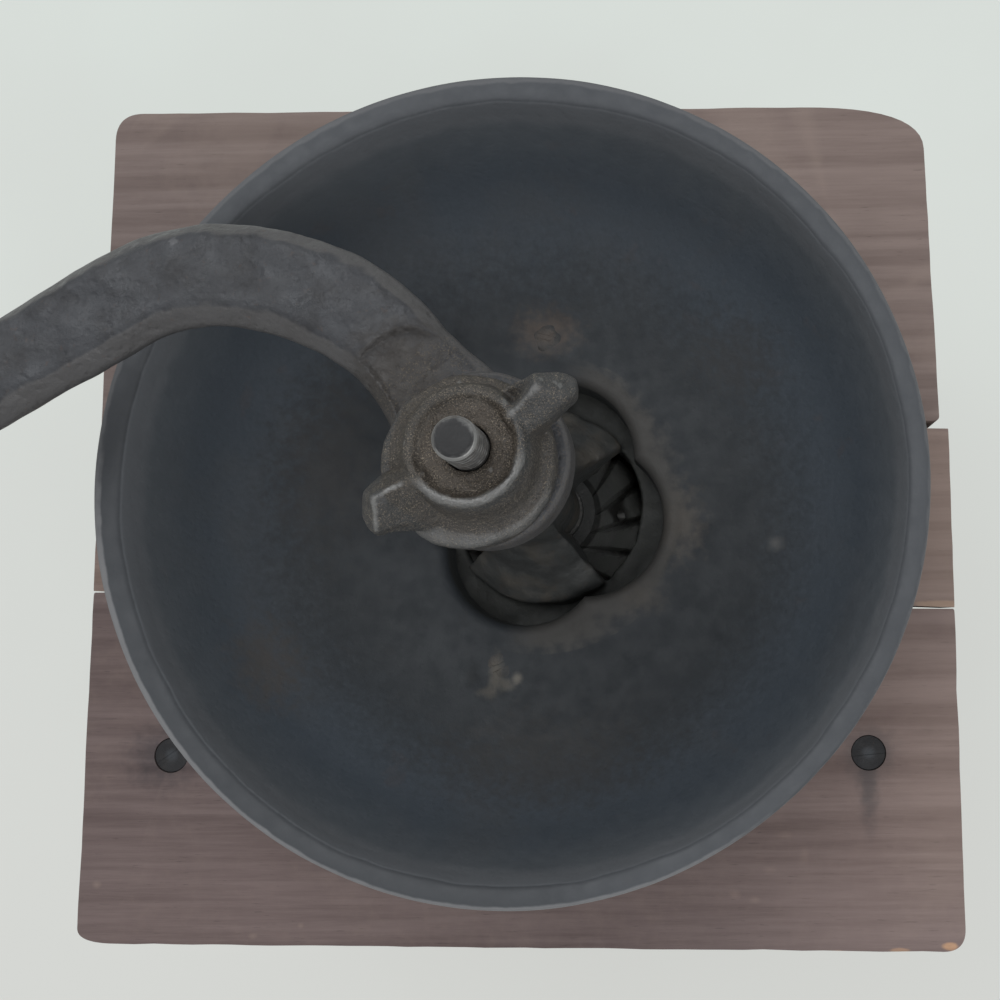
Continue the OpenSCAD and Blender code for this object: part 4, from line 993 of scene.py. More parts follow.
def through(points: Sequence[tuple[float, float]], at: float) -> float:
    """Reads a smooth curve through points.

    Args:
        points: Place and value pairs, by rising place.
        at: Where it is read.

    Returns:
        The value there.
    """
    places = [p[0] for p in points]
    k = int(np.clip(np.searchsorted(places, at) - 1, 0, len(points) - 2))
    (x0, y0), (x1, y1) = points[k], points[k + 1]
    t = float(np.clip((at - x0) / (x1 - x0), 0.0, 1.0))
    before = points[k - 1] if k else points[k]
    after = points[k + 2] if k + 2 < len(points) else points[k + 1]
    m0 = (y1 - before[1]) / (x1 - before[0]) * (x1 - x0)
    m1 = (after[1] - y0) / (after[0] - x0) * (x1 - x0)
    return ((2 * t ** 3 - 3 * t ** 2 + 1) * y0 + (t ** 3 - 2 * t ** 2 + t) * m0
            + (-2 * t ** 3 + 3 * t ** 2) * y1 + (t ** 3 - t ** 2) * m1)


def join_pieces(name: str, pieces: Sequence[bpy.types.Object]) -> bpy.types.Object:
    """Puts the meshes of several objects into one and removes them.

    Args:
        name: The new object's name.
        pieces: The objects.

    Returns:
        The new object.
    """
    bm = bmesh.new()
    for piece in pieces:
        bm.from_mesh(piece.data)
        bpy.data.objects.remove(piece)
    mesh = bpy.data.meshes.new(name)
    bm.to_mesh(mesh)
    bm.free()
    return link_mesh(name, mesh)


def settle(piece: bpy.types.Object) -> bpy.types.Object:
    """Applies every modifier of an object to its mesh and returns the object."""
    graph = bpy.context.evaluated_depsgraph_get()
    mesh = bpy.data.meshes.new_from_object(piece.evaluated_get(graph))
    piece.modifiers.clear()
    piece.data = mesh
    return piece


def cut(piece: bpy.types.Object, cutters: Sequence[bpy.types.Object]) -> bpy.types.Object:
    """Takes other solids away from an object.

    Args:
        piece: What is cut.
        cutters: What is taken away, removed afterwards.

    Returns:
        The object.
    """
    for cutter in cutters:
        step = piece.modifiers.new("cut", "BOOLEAN")
        step.operation = "DIFFERENCE"
        step.solver = "EXACT"
        step.object = cutter
    settle(piece)
    for cutter in cutters:
        bpy.data.objects.remove(cutter)
    return piece


def recast(piece: bpy.types.Object, voxel: float, smooth: int) -> bpy.types.Object:
    """Melts an object's parts into one skin with softened edges, as a casting has.

    Args:
        piece: The object, closed solids that may overlap.
        voxel: Size of the new faces in millimetres.
        smooth: How often the skin is relaxed.

    Returns:
        The object.
    """
    melt = piece.modifiers.new("melt", "REMESH")
    melt.mode = "VOXEL"
    melt.voxel_size = voxel * MM
    relax = piece.modifiers.new("relax", "SMOOTH")
    relax.factor = 0.5
    relax.iterations = smooth
    return settle(piece)


def roughen(piece: bpy.types.Object, layers: Sequence[tuple[float, float]],
            seed: float = 0.0, where: Callable[[Vector], float] | None = None) -> None:
    """Moves each vertex in or out by soft noise.

    Args:
        piece: The object.
        layers: Feature size and height of each layer of noise, in millimetres.
        seed: Where in the noise it starts.
        where: How much of it applies at a point in millimetres.
    """
    mesh = piece.data
    start = Vector((seed, 2.3 * seed, -seed))
    moves = []
    for vertex in mesh.vertices:
        spot = vertex.co * 1000
        total = sum(h * noise.noise(spot / size + start) for size, h in layers)
        share = where(spot) if where else 1.0
        moves.append(vertex.co + vertex.normal * (total * share * MM))
    for vertex, spot in zip(mesh.vertices, moves):
        vertex.co = spot
    mesh.update()


def node_copy(node: str, name: str) -> bpy.types.Object:
    """A free copy of a CAD node's mesh, welded to a closed skin.

    Args:
        node: The node's name.
        name: The copy's name.

    Returns:
        The new object.
    """
    bm = bmesh.new()
    bm.from_mesh(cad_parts[node].data)
    bmesh.ops.remove_doubles(bm, verts=bm.verts, dist=1e-6)
    mesh = bpy.data.meshes.new(name)
    bm.to_mesh(mesh)
    bm.free()
    return link_mesh(name, mesh)


def ease_edges(piece: bpy.types.Object, width: float, chosen: Callable[[Vector, Vector], bool],
               segments: int = 3) -> bpy.types.Object:
    """Rounds the chosen sharp edges of a flat-sided object, as handling does.

    Args:
        piece: The object.
        width: How far the rounding reaches, in millimetres.
        chosen: Says for an edge's two ends in millimetres whether it is rounded.
        segments: Faces across the rounding.

    Returns:
        The object.
    """
    bm = bmesh.new()
    bm.from_mesh(piece.data)
    bmesh.ops.dissolve_limit(bm, angle_limit=math.radians(0.4), verts=bm.verts, edges=bm.edges)
    edges = [e for e in bm.edges if len(e.link_faces) == 2
             and e.calc_face_angle(0.0) > math.radians(35)
             and chosen(e.verts[0].co * 1000, e.verts[1].co * 1000)]
    bmesh.ops.bevel(bm, geom=edges, offset=width * MM, segments=segments, profile=0.5,
                    affect="EDGES", clamp_overlap=True)
    bmesh.ops.triangulate(bm, faces=[f for f in bm.faces if len(f.verts) > 4])
    bm.to_mesh(piece.data)
    bm.free()
    return piece


def shade(piece: bpy.types.Object, angle: float) -> None:
    """Shades an object smooth, with edges sharper than an angle in degrees kept crisp."""
    mesh = piece.data
    mesh.polygons.foreach_set("use_smooth", [True] * len(mesh.polygons))
    mesh.set_sharp_from_angle(angle=math.radians(angle))


def dress(piece: bpy.types.Object, body: str, material: bpy.types.Material,
          nodes: Sequence[str] = (), angle: float = 35.0) -> bpy.types.Object:
    """Finishes a piece: material, shading, body and the nodes that it stands for.

    Args:
        piece: The object.
        body: The body that it moves with.
        material: Its material.
        nodes: The CAD nodes that it replaces.
        angle: Edges sharper than this stay crisp, in degrees.

    Returns:
        The object.
    """
    piece.data.materials.clear()
    piece.data.materials.append(material)
    shade(piece, angle)
    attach(piece, body)
    if nodes:
        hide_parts(*nodes)
    LOG.info("%s: %d faces on %s", piece.name, len(piece.data.polygons), body)
    return piece


def coat(material: bpy.types.Material, *nodes: str) -> None:
    """Gives CAD nodes that stay in view a material."""
    for node in nodes:
        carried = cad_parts[node]
        carried.data.materials.clear()
        carried.data.materials.append(material)
        LOG.info("%s: carried over in %s", node, material.name)


# Sub-assemblies


@dataclass(frozen=True)
class Screw:
    """An old sunk screw whose slot is nearly filled."""

    head_radius: float
    radius: float
    length: float
    crown: float = 0.45
    slot_width: float = 0.9
    slot_deep: float = 0.3

    def build(self, name: str, x: float, y: float, top: float, turn: float) -> bpy.types.Object:
        """Makes one screw that points down.

        Args:
            name: The piece's name.
            x: Place across.
            y: Place in depth.
            top: Height of the head's edge.
            turn: Direction of the slot in degrees.

        Returns:
            The screw.
        """
        head, shank, low = self.head_radius, self.radius, -self.length
        profile = [(0.02, low), (0.4, low), (shank, low + 3), (shank, -1.2 - head + shank),
                   (head, -1.2), (head, 0.0), (head - 0.12, 0.14), (head * 0.8, self.crown * 0.6),
                   (head * 0.5, self.crown * 0.9), (head * 0.2, self.crown), (0.02, self.crown)]
        screw = new_piece(name, *lathe(profile, 40, (x, y, top)))
        c, s = math.cos(math.radians(turn)), math.sin(math.radians(turn))
        corners = [(u * c - v * s, u * s + v * c) for u, v in (
            (-head - 1, -self.slot_width / 2), (head + 1, -self.slot_width / 2),
            (head + 1, self.slot_width / 2), (-head - 1, self.slot_width / 2))]
        rings = [[(x + u, y + v, top + z) for u, v in corners]
                 for z in (self.crown - self.slot_deep - 0.1, self.crown + 1)]
        return cut(screw, [new_piece("slot", *ring_stack(rings))])


@dataclass
class TopBoard:
    """The three planks of the top board and their screws."""

    top: float = 120.0
    thick: float = 13.0
    half_width: float = 90.0
    hole_radius: float = 29.3
    easing: float = 1.0
    screw_x: float = 72.0
    screw_rows: tuple[float, ...] = (-50.0, 0.0, 40.0)
    screw_sink: float = 0.7
    screw: Screw = Screw(3.5, 1.8, 30.0, 0.2, 0.9, 0.05)

    def outline(self, corners: Sequence[tuple[float, float, float, float]]
                ) -> list[tuple[float, float]]:
        """Draws a plank's outline with worn corners and edges that waver a little.

        Args:
            corners: Corners the way round against the clock, each with the length of its
                rounding before and after it.

        Returns:
            The outline's points.
        """
        points: list[tuple[float, float]] = []
        count = len(corners)
        for i in range(count):
            x, y, before, beyond = corners[i]
            to_last = Vector((corners[i - 1][0] - x, corners[i - 1][1] - y)).normalized()
            after = corners[(i + 1) % count]
            to_next = Vector((after[0] - x, after[1] - y)).normalized()
            here = Vector((x, y))
            start, end = here + to_last * before, here + to_next * beyond
            for k in range(13):
                t = k / 12
                spot = start * (1 - t) ** 2 + here * (2 * t * (1 - t)) + end * t ** 2
                points.append((spot.x, spot.y))
            last = Vector(after[:2]) - to_next * after[2]
            steps = max(2, round((last - end).length / 4))
            side = Vector((-to_next.y, to_next.x))
            for k in range(1, steps):
                spot = end.lerp(last, k / steps)
                shift = 0.25 * noise.noise(Vector((spot.x / 11, spot.y / 11, 3.0))) + 0.12 * \
                    noise.noise(Vector((spot.x / 2.5, spot.y / 2.5, 8.0)))
                spot += side * max(shift, -0.08)
                points.append((spot.x, spot.y))
        return points

    def plank(self, name: str, corners: Sequence[tuple[float, float, float, float]],
              drop: float) -> bpy.types.Object:
        """Makes one plank.

        Args:
            name: The piece's name.
            corners: Its corners, each with its two roundings.
            drop: How far its top has shrunk below the others.

        Returns:
            The plank.
        """
        outline = self.outline(corners)
        rings = [[(x, y, z) for x, y in outline]
                 for z in (self.top - self.thick, self.top - drop)]
        board = new_piece(name, *ring_stack(rings))
        hole = lathe([(0.001, 0), (self.hole_radius, 0), (self.hole_radius, 30), (0.001, 30)], 96,
                     (*AXIS, self.top - self.thick - 8))
        cutters = [new_piece("hole", *hole)]
        reach = self.screw.head_radius + 0.05
        for x in (-self.screw_x, self.screw_x):
            for y in self.screw_rows:
                well = lathe([(0.001, -20), (1.83, -20), (1.83, -3.65), (reach, -1.85),
                              (reach + 0.1, 3), (0.001, 3)], 40, (x, y, self.top))
                cutters.append(new_piece("well", *well))
        cut(board, cutters)
        centre = Vector(AXIS)

        def on_rim(a: Vector, b: Vector) -> bool:
            """Whether an edge belongs to the outline and not to a hole."""
            middle = (a + b) / 2
            level = abs(a.z - b.z) < 0.05
            clear = all(math.hypot(abs(middle.x) - self.screw_x, middle.y - y) > 6
                        for y in self.screw_rows)
            return level and clear and (middle.xy - centre).length > self.hole_radius + 1

        return ease_edges(board, self.easing, on_rim)

    def build(self) -> None:
        """Builds and dresses the planks and their screws."""
        w = self.half_width
        back, middle, front = PLANK_BACK.make(), PLANK_MIDDLE.make(), PLANK_FRONT.make()
        dress(self.plank("plank_back", [(-w, 18.0, 0.8, 0.8), (w - 1.4, 18.45, 1.0, 1.2),
                                        (w - 3.0, 87.6, 9.5, 26.0), (-w, 89.4, 6.0, 6.0)], 0.0),
              "case", back, ["top_plank_back"])
        left_end = [(-w, -15.9, 0.8, 0.1), (5.0, -18.26, 0.1, 0.1), (5.0, 17.2, 0.1, 0.1),
                    (-w, 17.6, 0.1, 0.8)]
        right_end = [(5.0, -18.26, 0.1, 0.1), (w + 0.4, -20.6, 0.1, 1.0),
                     (w + 0.4, 16.75, 1.4, 0.1), (5.0, 17.2, 0.1, 0.1)]
        dress(self.plank("plank_middle_left", left_end, 0.12), "case", middle,
              ["top_plank_middle_left"])
        dress(self.plank("plank_middle_right", right_end, 0.12), "case", middle,
              ["top_plank_middle_right"])
        dress(self.plank("plank_front", [(-w, -87.6, 3.0, 8.0), (w + 0.4, -89.1, 4.6, 4.6),
                                         (w + 0.4, -20.9, 0.8, 0.4), (-w, -16.2, 0.4, 0.8)], 0.3),
              "case", front, ["top_plank_front"])
        screws = [self.screw.build("one_screw", side * self.screw_x, y,
                                   self.top - self.screw_sink, 35 + 50 * (i + 3 * (side > 0)))
                  for side in (-1, 1) for i, y in enumerate(self.screw_rows)]
        dress(join_pieces("board_screw_set", screws), "case",
              STAINED_SCREW.make(), ["board_screws"])


@dataclass
class Hopper:
    """The open cast bowl with its lobed throat, and its two screws."""

    base: float = 120.0
    rim_radius: float = 72.6
    rim_height: float = 41.0
    lip_width: float = 4.4
    lip_shift: tuple[float, float] = (-0.5, 0.45)
    wall: float = 3.4
    floor: float = 4.0
    mid_radius: float = 30.0
    foot_radius: float = 41.0
    lobe_radius: float = 16.0
    lobe_offset: float = 10.0
    lobe_direction: float = -20.0
    collar_wall: float = 2.8
    collar_depth: float = 6.0
    screw_radius: float = 34.8
    screw_directions: tuple[float, ...] = (-104.0, 88.0)
    screw: Screw = Screw(3.7, 1.7, 15.0, 0.9, 1.0, 0.1)
    rim_shift: tuple[float, float] = (-0.26, 0.6)
    count: int = 288

    def throat(self, angle: float) -> float:
        """Reach of the throat from the crank axis in one direction, in radians."""
        best = 0.0
        for k in range(4):
            off = angle - math.radians(self.lobe_direction + 90 * k)
            if math.cos(off) > 0:
                across = self.lobe_offset * math.sin(off)
                best = max(best, self.lobe_offset * math.cos(off)
                           + math.sqrt(max(self.lobe_radius ** 2 - across ** 2, 0.0)))
        return best

    def lip_of_throat(self, angle: float, share: float) -> float:
        """Radius on the throat's rounded lip.

        Args:
            angle: Direction in radians.
            share: How far over the lip, from 0 at the throat to 1 at the floor.

        Returns:
            The radius.
        """
        worn = 1.0 + 0.35 * noise.noise(Vector((2 * math.cos(angle), 2 * math.sin(angle), 7.0)))
        here = self.throat(angle)
        reach = min(2.6 * worn, self.mid_radius - 0.9 - here)
        return here + reach * share

    def ring(self, radius: Callable[[float], float], height: float) -> Ring:
        """One ring of the bowl.

        Args:
            radius: Radius in a direction.
            height: Height over the top board.

        Returns:
            The ring's points.
        """
        points = []
        for i in range(self.count):
            a = TAU * i / self.count
            r = radius(a)
            points.append((AXIS[0] + r * math.cos(a), AXIS[1] + r * math.sin(a),
                           self.base + height))
        return points

    def lip_inner(self, a: float) -> float:
        """Radius of the lip's uneven inner edge in a direction."""
        shift = self.lip_shift[0] * math.cos(a) + self.lip_shift[1] * math.sin(a)
        ragged = 0.35 * noise.noise(Vector((4 * math.cos(a), 4 * math.sin(a), 1.0))) + 0.22 * \
            noise.noise(Vector((13 * math.cos(a), 13 * math.sin(a), 5.0)))
        return self.rim_radius - self.lip_width - shift + ragged

    def skin(self) -> list[Ring]:
        """The bowl's rings, from the collar up the inside, over the lip and down the outside.

        Returns:
            The rings.
        """
        rings = [self.ring(self.throat, -self.collar_depth), self.ring(self.throat, -1.0),
                 self.ring(self.throat, 0.6)]
        for k in range(1, 8):
            t = math.radians(90 * k / 7)
            rings.append(self.ring(lambda a, q=t: self.lip_of_throat(a, 1 - math.cos(q)),
                                   0.9 + 2.7 * math.sin(t)))
        for t in (0.3, 0.65):
            rings.append(self.ring(lambda a, s=t: (1 - s) * self.lip_of_throat(a, 1.0)
                                   + s * self.mid_radius, 3.6 + 0.4 * t))
        in_a = self.rim_radius - self.lip_width - self.mid_radius
        in_b = self.rim_height - self.floor
        steps = 30
        for i in range(steps + 1):
            t = math.radians(83 * i / steps)
            share = (i / steps) ** 3
            rings.append(self.ring(
                lambda a, q=t, s=share: self.mid_radius + (
                    in_a + s * (self.lip_inner(a) - self.rim_radius + self.lip_width))
                * math.sin(q), self.rim_height - in_b * math.cos(t)))
        top = self.rim_height
        rings.append(self.ring(self.lip_inner, top - 1.3))
        rings.append(self.ring(lambda a: self.lip_inner(a) + 0.25, top - 0.55))
        rings.append(self.ring(lambda a: self.lip_inner(a) + 0.8, top - 0.18))
        rings.append(self.ring(lambda a: self.lip_inner(a) + 1.8, top - 0.03))
        for inset, drop in ((1.4, 0.0), (0.7, 0.08), (0.25, 0.32), (0.04, 0.8), (0.0, 1.6),
                            (0.0, 3.0)):
            rings.append(self.ring(lambda a, n=inset: self.rim_radius - n, top - drop))
        out_a = in_a + self.lip_width - 1.0
        out_b = in_b + self.wall
        foot_t = math.asin((self.foot_radius - self.mid_radius) / out_a)
        start = math.radians(82)
        for i in range(steps + 1):
            t = start + (foot_t - start) * i / steps
            rings.append(self.ring(lambda a, q=t: self.mid_radius + out_a * math.sin(q),
                                   max(top - out_b * math.cos(t), 0.6)))
        rings.append(self.ring(lambda a: self.foot_radius, 0.4))
        rings.append(self.ring(lambda a: self.foot_radius - 0.4, 0.0))
        collar = self.lobe_radius + self.lobe_offset + self.collar_wall
        rings.append(self.ring(lambda a: collar, 0.0))
        rings.append(self.ring(lambda a: collar, -self.collar_depth))
        return rings

    def build(self) -> None:
        """Builds the bowl with a crater for each screw, and dresses it."""
        bowl = new_piece("hopper_casting", *ring_stack(self.skin(), loop=True))
        seats = [(AXIS[0] + self.screw_radius * math.cos(math.radians(d)),
                  AXIS[1] + self.screw_radius * math.sin(math.radians(d)))
                 for d in self.screw_directions]
        sunk = self.base + 4.0
        for vertex in bowl.data.vertices:
            spot = vertex.co * 1000
            for x, y in seats:
                away = math.hypot(spot.x - x, spot.y - y)
                if away < 5.4 and self.base + 3 < spot.z < self.base + 12:
                    depth = min(1.0, 1 - (away - 3.4) / 2.0)
                    vertex.co.z -= (spot.z - sunk) * (3 * depth ** 2 - 2 * depth ** 3) * MM
            share = min(max((spot.z - self.base - 10) / 28, 0.0), 1.0)
            vertex.co.x += share * (self.rim_shift[0] + 0.0065 * (spot.x - AXIS[0])) * MM
            vertex.co.y += share * (self.rim_shift[1] + 0.0065 * (spot.y - AXIS[1])) * MM
        bowl.data.update()
        top = self.base + self.rim_height
        roughen(bowl, [(34.0, 0.5), (9.0, 0.12), (3.0, 0.03)], 4.0,
                lambda p: min(max((p.z - self.base - 1.0) / 6, 0.0), 1.0)
                * (0.35 if p.z > top - 2 else 1.0))
        dress(bowl, "case", BOWL_IRON.make(), ["hopper_bowl"], 60)
        screws = [self.screw.build("one_screw", x, y, self.base + 3.3, 25 + 140 * i)
                  for i, (x, y) in enumerate(seats)]
        both = join_pieces("hopper_screw_pair", screws)
        roughen(both, [(2.2, 0.3)], 3.0, lambda p: 1.0 if p.z > self.base + 3.4 else 0.0)
        dress(both, "case", CRUSTED_SCREW.make(), ["hopper_screws"])


@dataclass
class Works:
    """The bearing column in the throat and the burrs under the board."""

    voxel: float = 0.5

    def build(self) -> None:
        """Builds the column with its legs, and coats what lies under it."""
        column = recast(node_copy("bearing_column", "bearing_casting"), self.voxel, 9)
        roughen(column, [(7.0, 0.7), (2.6, 0.22)], 9.0,
                lambda p: 1.0 if 108 < p.z < 150 and math.hypot(
                    p.x - AXIS[0], p.y - AXIS[1]) > 7.5 else 0.1)
        dress(column, "case", COLUMN_IRON.make(), ["bearing_column"], 60)
        coat(PLAIN_IRON.make(), "lower_bridge")
        # Both burrs carry painted light and painted shade in their finishes.
        coat(DUST_AND_LIGHT_IRON.make(), "fixed_burr")
        coat(BURR_IRON.make(), "turning_burr")
        coat(SCREW_STEEL.make(), "fixed_burr_screws", "column_screws", "lower_bridge_bolts",
             "burr_pin")


@dataclass
class Spindle:
    """The shaft with its cut thread."""

    low: float = 66.0
    square_low: float = 175.73
    thread_low: float = 185.9
    top: float = 204.5
    radius: float = 4.0
    square: float = 6.4
    thread_radius: float = 3.175
    pitch: float = 1.27
    depth: float = 0.72
    cap_radius: float = 2.78
    cap_height: float = 0.75
    count: int = 72

    def section(self, z: float, a: float) -> float:
        """Radius of the shaft at a height in a direction."""
        if z < self.square_low:
            return self.radius
        if z < self.thread_low:
            flat = self.square / 2 / max(abs(math.cos(a)), abs(math.sin(a)))
            return min(flat, self.radius)
        turn = (z / self.pitch - a / TAU) % 1.0
        tooth = min(abs(turn - 0.5) * 2.4, 1.0)
        return self.thread_radius - self.depth * (1 - tooth)

    def ring(self, z: float, radius: Callable[[float], float]) -> Ring:
        """One ring of the shaft, its radius given by direction."""
        turns = [TAU * i / self.count for i in range(self.count)]
        return [(AXIS[0] + radius(a) * math.cos(a), AXIS[1] + radius(a) * math.sin(a), z)
                for a in turns]

    def build(self) -> None:
        """Builds the shaft with a plain filed end, and dresses it."""
        heights = [self.low, self.square_low - 0.02, self.square_low + 0.02,
                   self.thread_low - 0.02]
        thread_top = self.top - self.cap_height
        turns = round((thread_top - self.thread_low) / self.pitch * 12)
        heights += [self.thread_low + (thread_top - self.thread_low) * k / turns
                    for k in range(turns + 1)]
        rings = [self.ring(z, lambda a, h=z: self.section(h, a)) for z in heights]
        crown = ((self.thread_radius - 0.16, 0.68), (self.thread_radius - 0.05, 0.56),
                 (self.thread_radius - 0.06, 0.3), (self.cap_radius + 0.1, 0.08),
                 (self.cap_radius, 0.0), (2.0, 0.0), (1.2, 0.0), (0.5, 0.0))
        rings += [self.ring(self.top - z, lambda a, q=r: q) for r, z in crown]
        shaft = new_piece("threaded_shaft", *ring_stack(rings))
        dress(shaft, "spindle", SHAFT_STEEL.make(), ["shaft"], 40)


@dataclass
class Crank:
    """The cast arm with its hub, and the turned knob on its pin."""

    low: float = 178.0
    hub_radius: float = 13.6
    hub_height: float = 8.1
    bend: tuple[float, float] = (-40.3, -4.95)
    bend_radius: float = 34.9
    bend_from: float = 5.0
    bend_to: float = 119.0
    reach: float = 78.0
    eye: tuple[float, float] = (-125.44, -12.24)
    eye_radius: float = 9.0
    thick: float = 6.6
    pin_radius: float = 3.03
    square: float = 6.64
    square_corner: float = 4.15
    pad_centre: tuple[float, float] = (-11.5, 10.9)
    pad_radius: float = 9.7
    pad_half_width: float = 5.2
    pad_drop: float = 1.3
    web: Curve = ((2.1, 13.4), (-7.4, 21.9))
    web_top: float = 5.2
    voxel: float = 0.5
    knob_low: float = 186.2
    knob_height: float = 34.0
    knob_radius: float = 13.5
    rise: Curve = (
        (-95.0, 0.1), (-74.0, 0.8), (-62.0, 1.4), (-50.0, 1.7), (-40.0, 1.0), (-26.0, -0.15),
        (-12.0, -0.1))
    swell: Curve = (
        (-100.0, 1.0), (-75.0, 1.05), (-55.0, 1.1), (-20.0, 1.12), (-8.0, 1.04), (0.0, 1.0))
    half_section: Curve = (
        (0.0, 6.6), (2.6, 6.58), (4.2, 6.5), (5.0, 6.3), (5.6, 5.85), (6.3, 5.1), (7.0, 4.3),
        (7.4, 3.7), (7.5, 3.1), (7.35, 2.4), (6.9, 1.3), (6.3, 0.45), (5.6, 0.05), (2.8, 0.0))

    def section(self) -> list[tuple[float, float]]:
        """The arm's section, outward and up, with its middle at zero."""
        mirrored = [(-u, z) for u, z in reversed(self.half_section[1:])]
        return [*self.half_section, (0.0, 0.0), *mirrored]

    def sweep(self) -> bpy.types.Object:
        """Runs the section round the bend and along the straight part.

        Returns:
            The arm without hub and eye.
        """
        places: list[tuple[float, float, float]] = []
        steps = 64
        for k in range(steps + 1):
            t = self.bend_from + (self.bend_to - self.bend_from) * k / steps
            places.append((self.bend[0] + self.bend_radius * math.cos(math.radians(t)),
                           self.bend[1] + self.bend_radius * math.sin(math.radians(t)), t))
        x0, y0, t0 = places[-1]
        along = math.radians(t0 + 90)
        for k in range(1, 27):
            go = self.reach * k / 26
            places.append((x0 + go * math.cos(along), y0 + go * math.sin(along), t0))
        rings = []
        for x, y, t in places:
            c, s = math.cos(math.radians(t)), math.sin(math.radians(t))
            at = AXIS[0] + x
            back, wide = through(self.rise, at), through(self.swell, at)
            rings.append([(at + wide * u * c, AXIS[1] + y + back + wide * u * s, self.low + z)
                          for u, z in self.section()])
        return new_piece("arm_sweep", *ring_stack(rings))

    def disc(self, name: str, x: float, y: float, profile: Sequence[tuple[float, float]]
             ) -> bpy.types.Object:
        """A turned solid of the crank, at a place from the axis."""
        return new_piece(name, *lathe(profile, 72, (AXIS[0] + x, AXIS[1] + y, self.low)))

    def gusset(self) -> bpy.types.Object:
        """The web between the hub and the bend, with a sloped band along its outer edge.

        Returns:
            The web.
        """
        (x0, y0), (x1, y1) = self.web
        back = Vector((x0 - x1, y0 - y1)).normalized()
        inward = Vector((-back.y, back.x))
        if inward.dot(Vector((-x1, -y1))) < 0:
            inward = -inward
        first, last = Vector((x0, y0)) + back * 1.5, Vector((x1, y1)) - back * 3.0
        inner = [(-14.0, 12.0), (-6.0, 0.0), (4.0, 2.0)]
        rings = []
        for inset, z in ((1.6, 0.0), (0.2, 1.3), (0.0, 3.1), (0.15, 3.7), (1.0, 4.6),
                         (1.9, self.web_top)):
            edge = [first + inward * inset, last + inward * inset]
            outline = [(p.x, p.y) for p in edge] + inner
            rings.append([(AXIS[0] + u, AXIS[1] + v, self.low + z) for u, v in outline])
        return new_piece("arm_web", *ring_stack(rings))

    def sink_pad(self, arm: bpy.types.Object) -> None:
        """Lowers the arm's crown by the hub to the pad, with a soft arc where it ends."""
        for vertex in arm.data.vertices:
            spot = vertex.co * 1000 - Vector((*AXIS, self.low))
            if spot.z < self.web_top - self.pad_drop:
                continue
            from_bend = math.hypot(spot.x - self.bend[0], spot.y - self.bend[1])
            aside = abs(from_bend - self.bend_radius)
            on_disc = self.pad_radius - math.hypot(spot.x - self.pad_centre[0],
                                                   spot.y - self.pad_centre[1])
            off_hub = math.hypot(spot.x, spot.y) - self.hub_radius
            outer = 1.0 if from_bend > self.bend_radius and spot.x > -13 else \
                min(max((self.pad_half_width + 0.4 - aside) / 0.7, 0.0), 1.0)
            share = min(max(on_disc / 0.8 + 0.5, 0.0), 1.0) * outer * \
                min(max(off_hub / 0.5, 0.0), 1.0)
            sunk = max(spot.z - (self.thick - self.pad_drop), 0.0) * share
            vertex.co.z -= sunk * MM
        arm.data.update()

    def knob_profile(self) -> list[tuple[float, float]]:
        """Radius and height of the knob's rings, hollow for its pin.

        Returns:
            The profile, closed on itself.
        """
        r, h = self.knob_radius, self.knob_height
        outside = [(3.1, 0.0), (r * 0.58, 0.0), (r * 0.64, 0.35), (r * 0.675, 1.3),
                   (r * 0.64, 2.6), (r * 0.57, 3.1), (r * 0.56, 3.4)]
        for i in range(29):
            t = i / 28
            outside.append((r * (0.52 + 0.478 * math.sin(math.pi * t ** 1.25 * 0.76)),
                            3.7 + t * (h - 5.9)))
        outside += [(r * 0.70, h - 1.5), (r * 0.62, h - 0.7), (r * 0.52, h - 0.15),
                    (5.7, h), (5.62, h - 0.3), (5.6, h - 2.35), (3.1, h - 2.4)]
        return outside

    def build(self) -> None:
        """Builds the arm and the knob and dresses them."""
        r, h, t = self.hub_radius, self.hub_height, self.thick
        hub = self.disc("arm_hub", 0, 0, [(0.02, 0), (r - 0.6, 0), (r, 0.6), (r, h - 1.1),
                                          (r - 0.3, h - 0.45), (r - 0.9, h), (0.02, h)])
        e = self.eye_radius
        eye = self.disc("arm_eye", *self.eye, [(0.02, 0), (e - 0.8, 0), (e, 0.8), (e, t - 1.2),
                                               (e - 0.4, t - 0.4), (e - 1.2, t), (0.02, t)])
        arm = recast(join_pieces("crank_casting", [self.sweep(), hub, eye, self.gusset()]),
                     self.voxel, 4)
        self.sink_pad(arm)
        roughen(arm, [(12.0, 0.45), (4.6, 0.5), (2.0, 0.12)], 2.0,
                lambda p: 0.15 if math.hypot(p.x - AXIS[0], p.y - AXIS[1]) < r + 0.4 else
                0.3 + 0.7 * min(max((p.z - self.low - 4.6) / 1.6, 0.0), 1.0))
        pin = self.disc("pin_hole", *self.eye, [(0.02, -2), (self.pin_radius, -2),
                                                (self.pin_radius, t + 2), (0.02, t + 2)])
        flats = []
        for k in range(72):
            a = TAU * k / 72
            reach = self.square / 2 / max(abs(math.cos(a)), abs(math.sin(a)))
            reach = min(reach, self.square_corner)
            flats.append((AXIS[0] + reach * math.cos(a), AXIS[1] + reach * math.sin(a)))
        socket = new_piece("square_hole", *ring_stack(
            [[(x, y, self.low + z) for x, y in flats] for z in (-2, h + 2)]))
        cut(arm, [pin, socket])
        dress(arm, "crank", ARM_IRON.make(), ["crank_arm"], 60)
        knob = new_piece("turned_knob", *lathe(
            self.knob_profile(), 72,
            (AXIS[0] + self.eye[0], AXIS[1] + self.eye[1], self.knob_low), loop=True))
        dress(knob, "knob", KNOB_WOOD.make(), ["crank_knob"], 50)
        coat(SCREW_STEEL.make(), "knob_pin", "knob_washer")


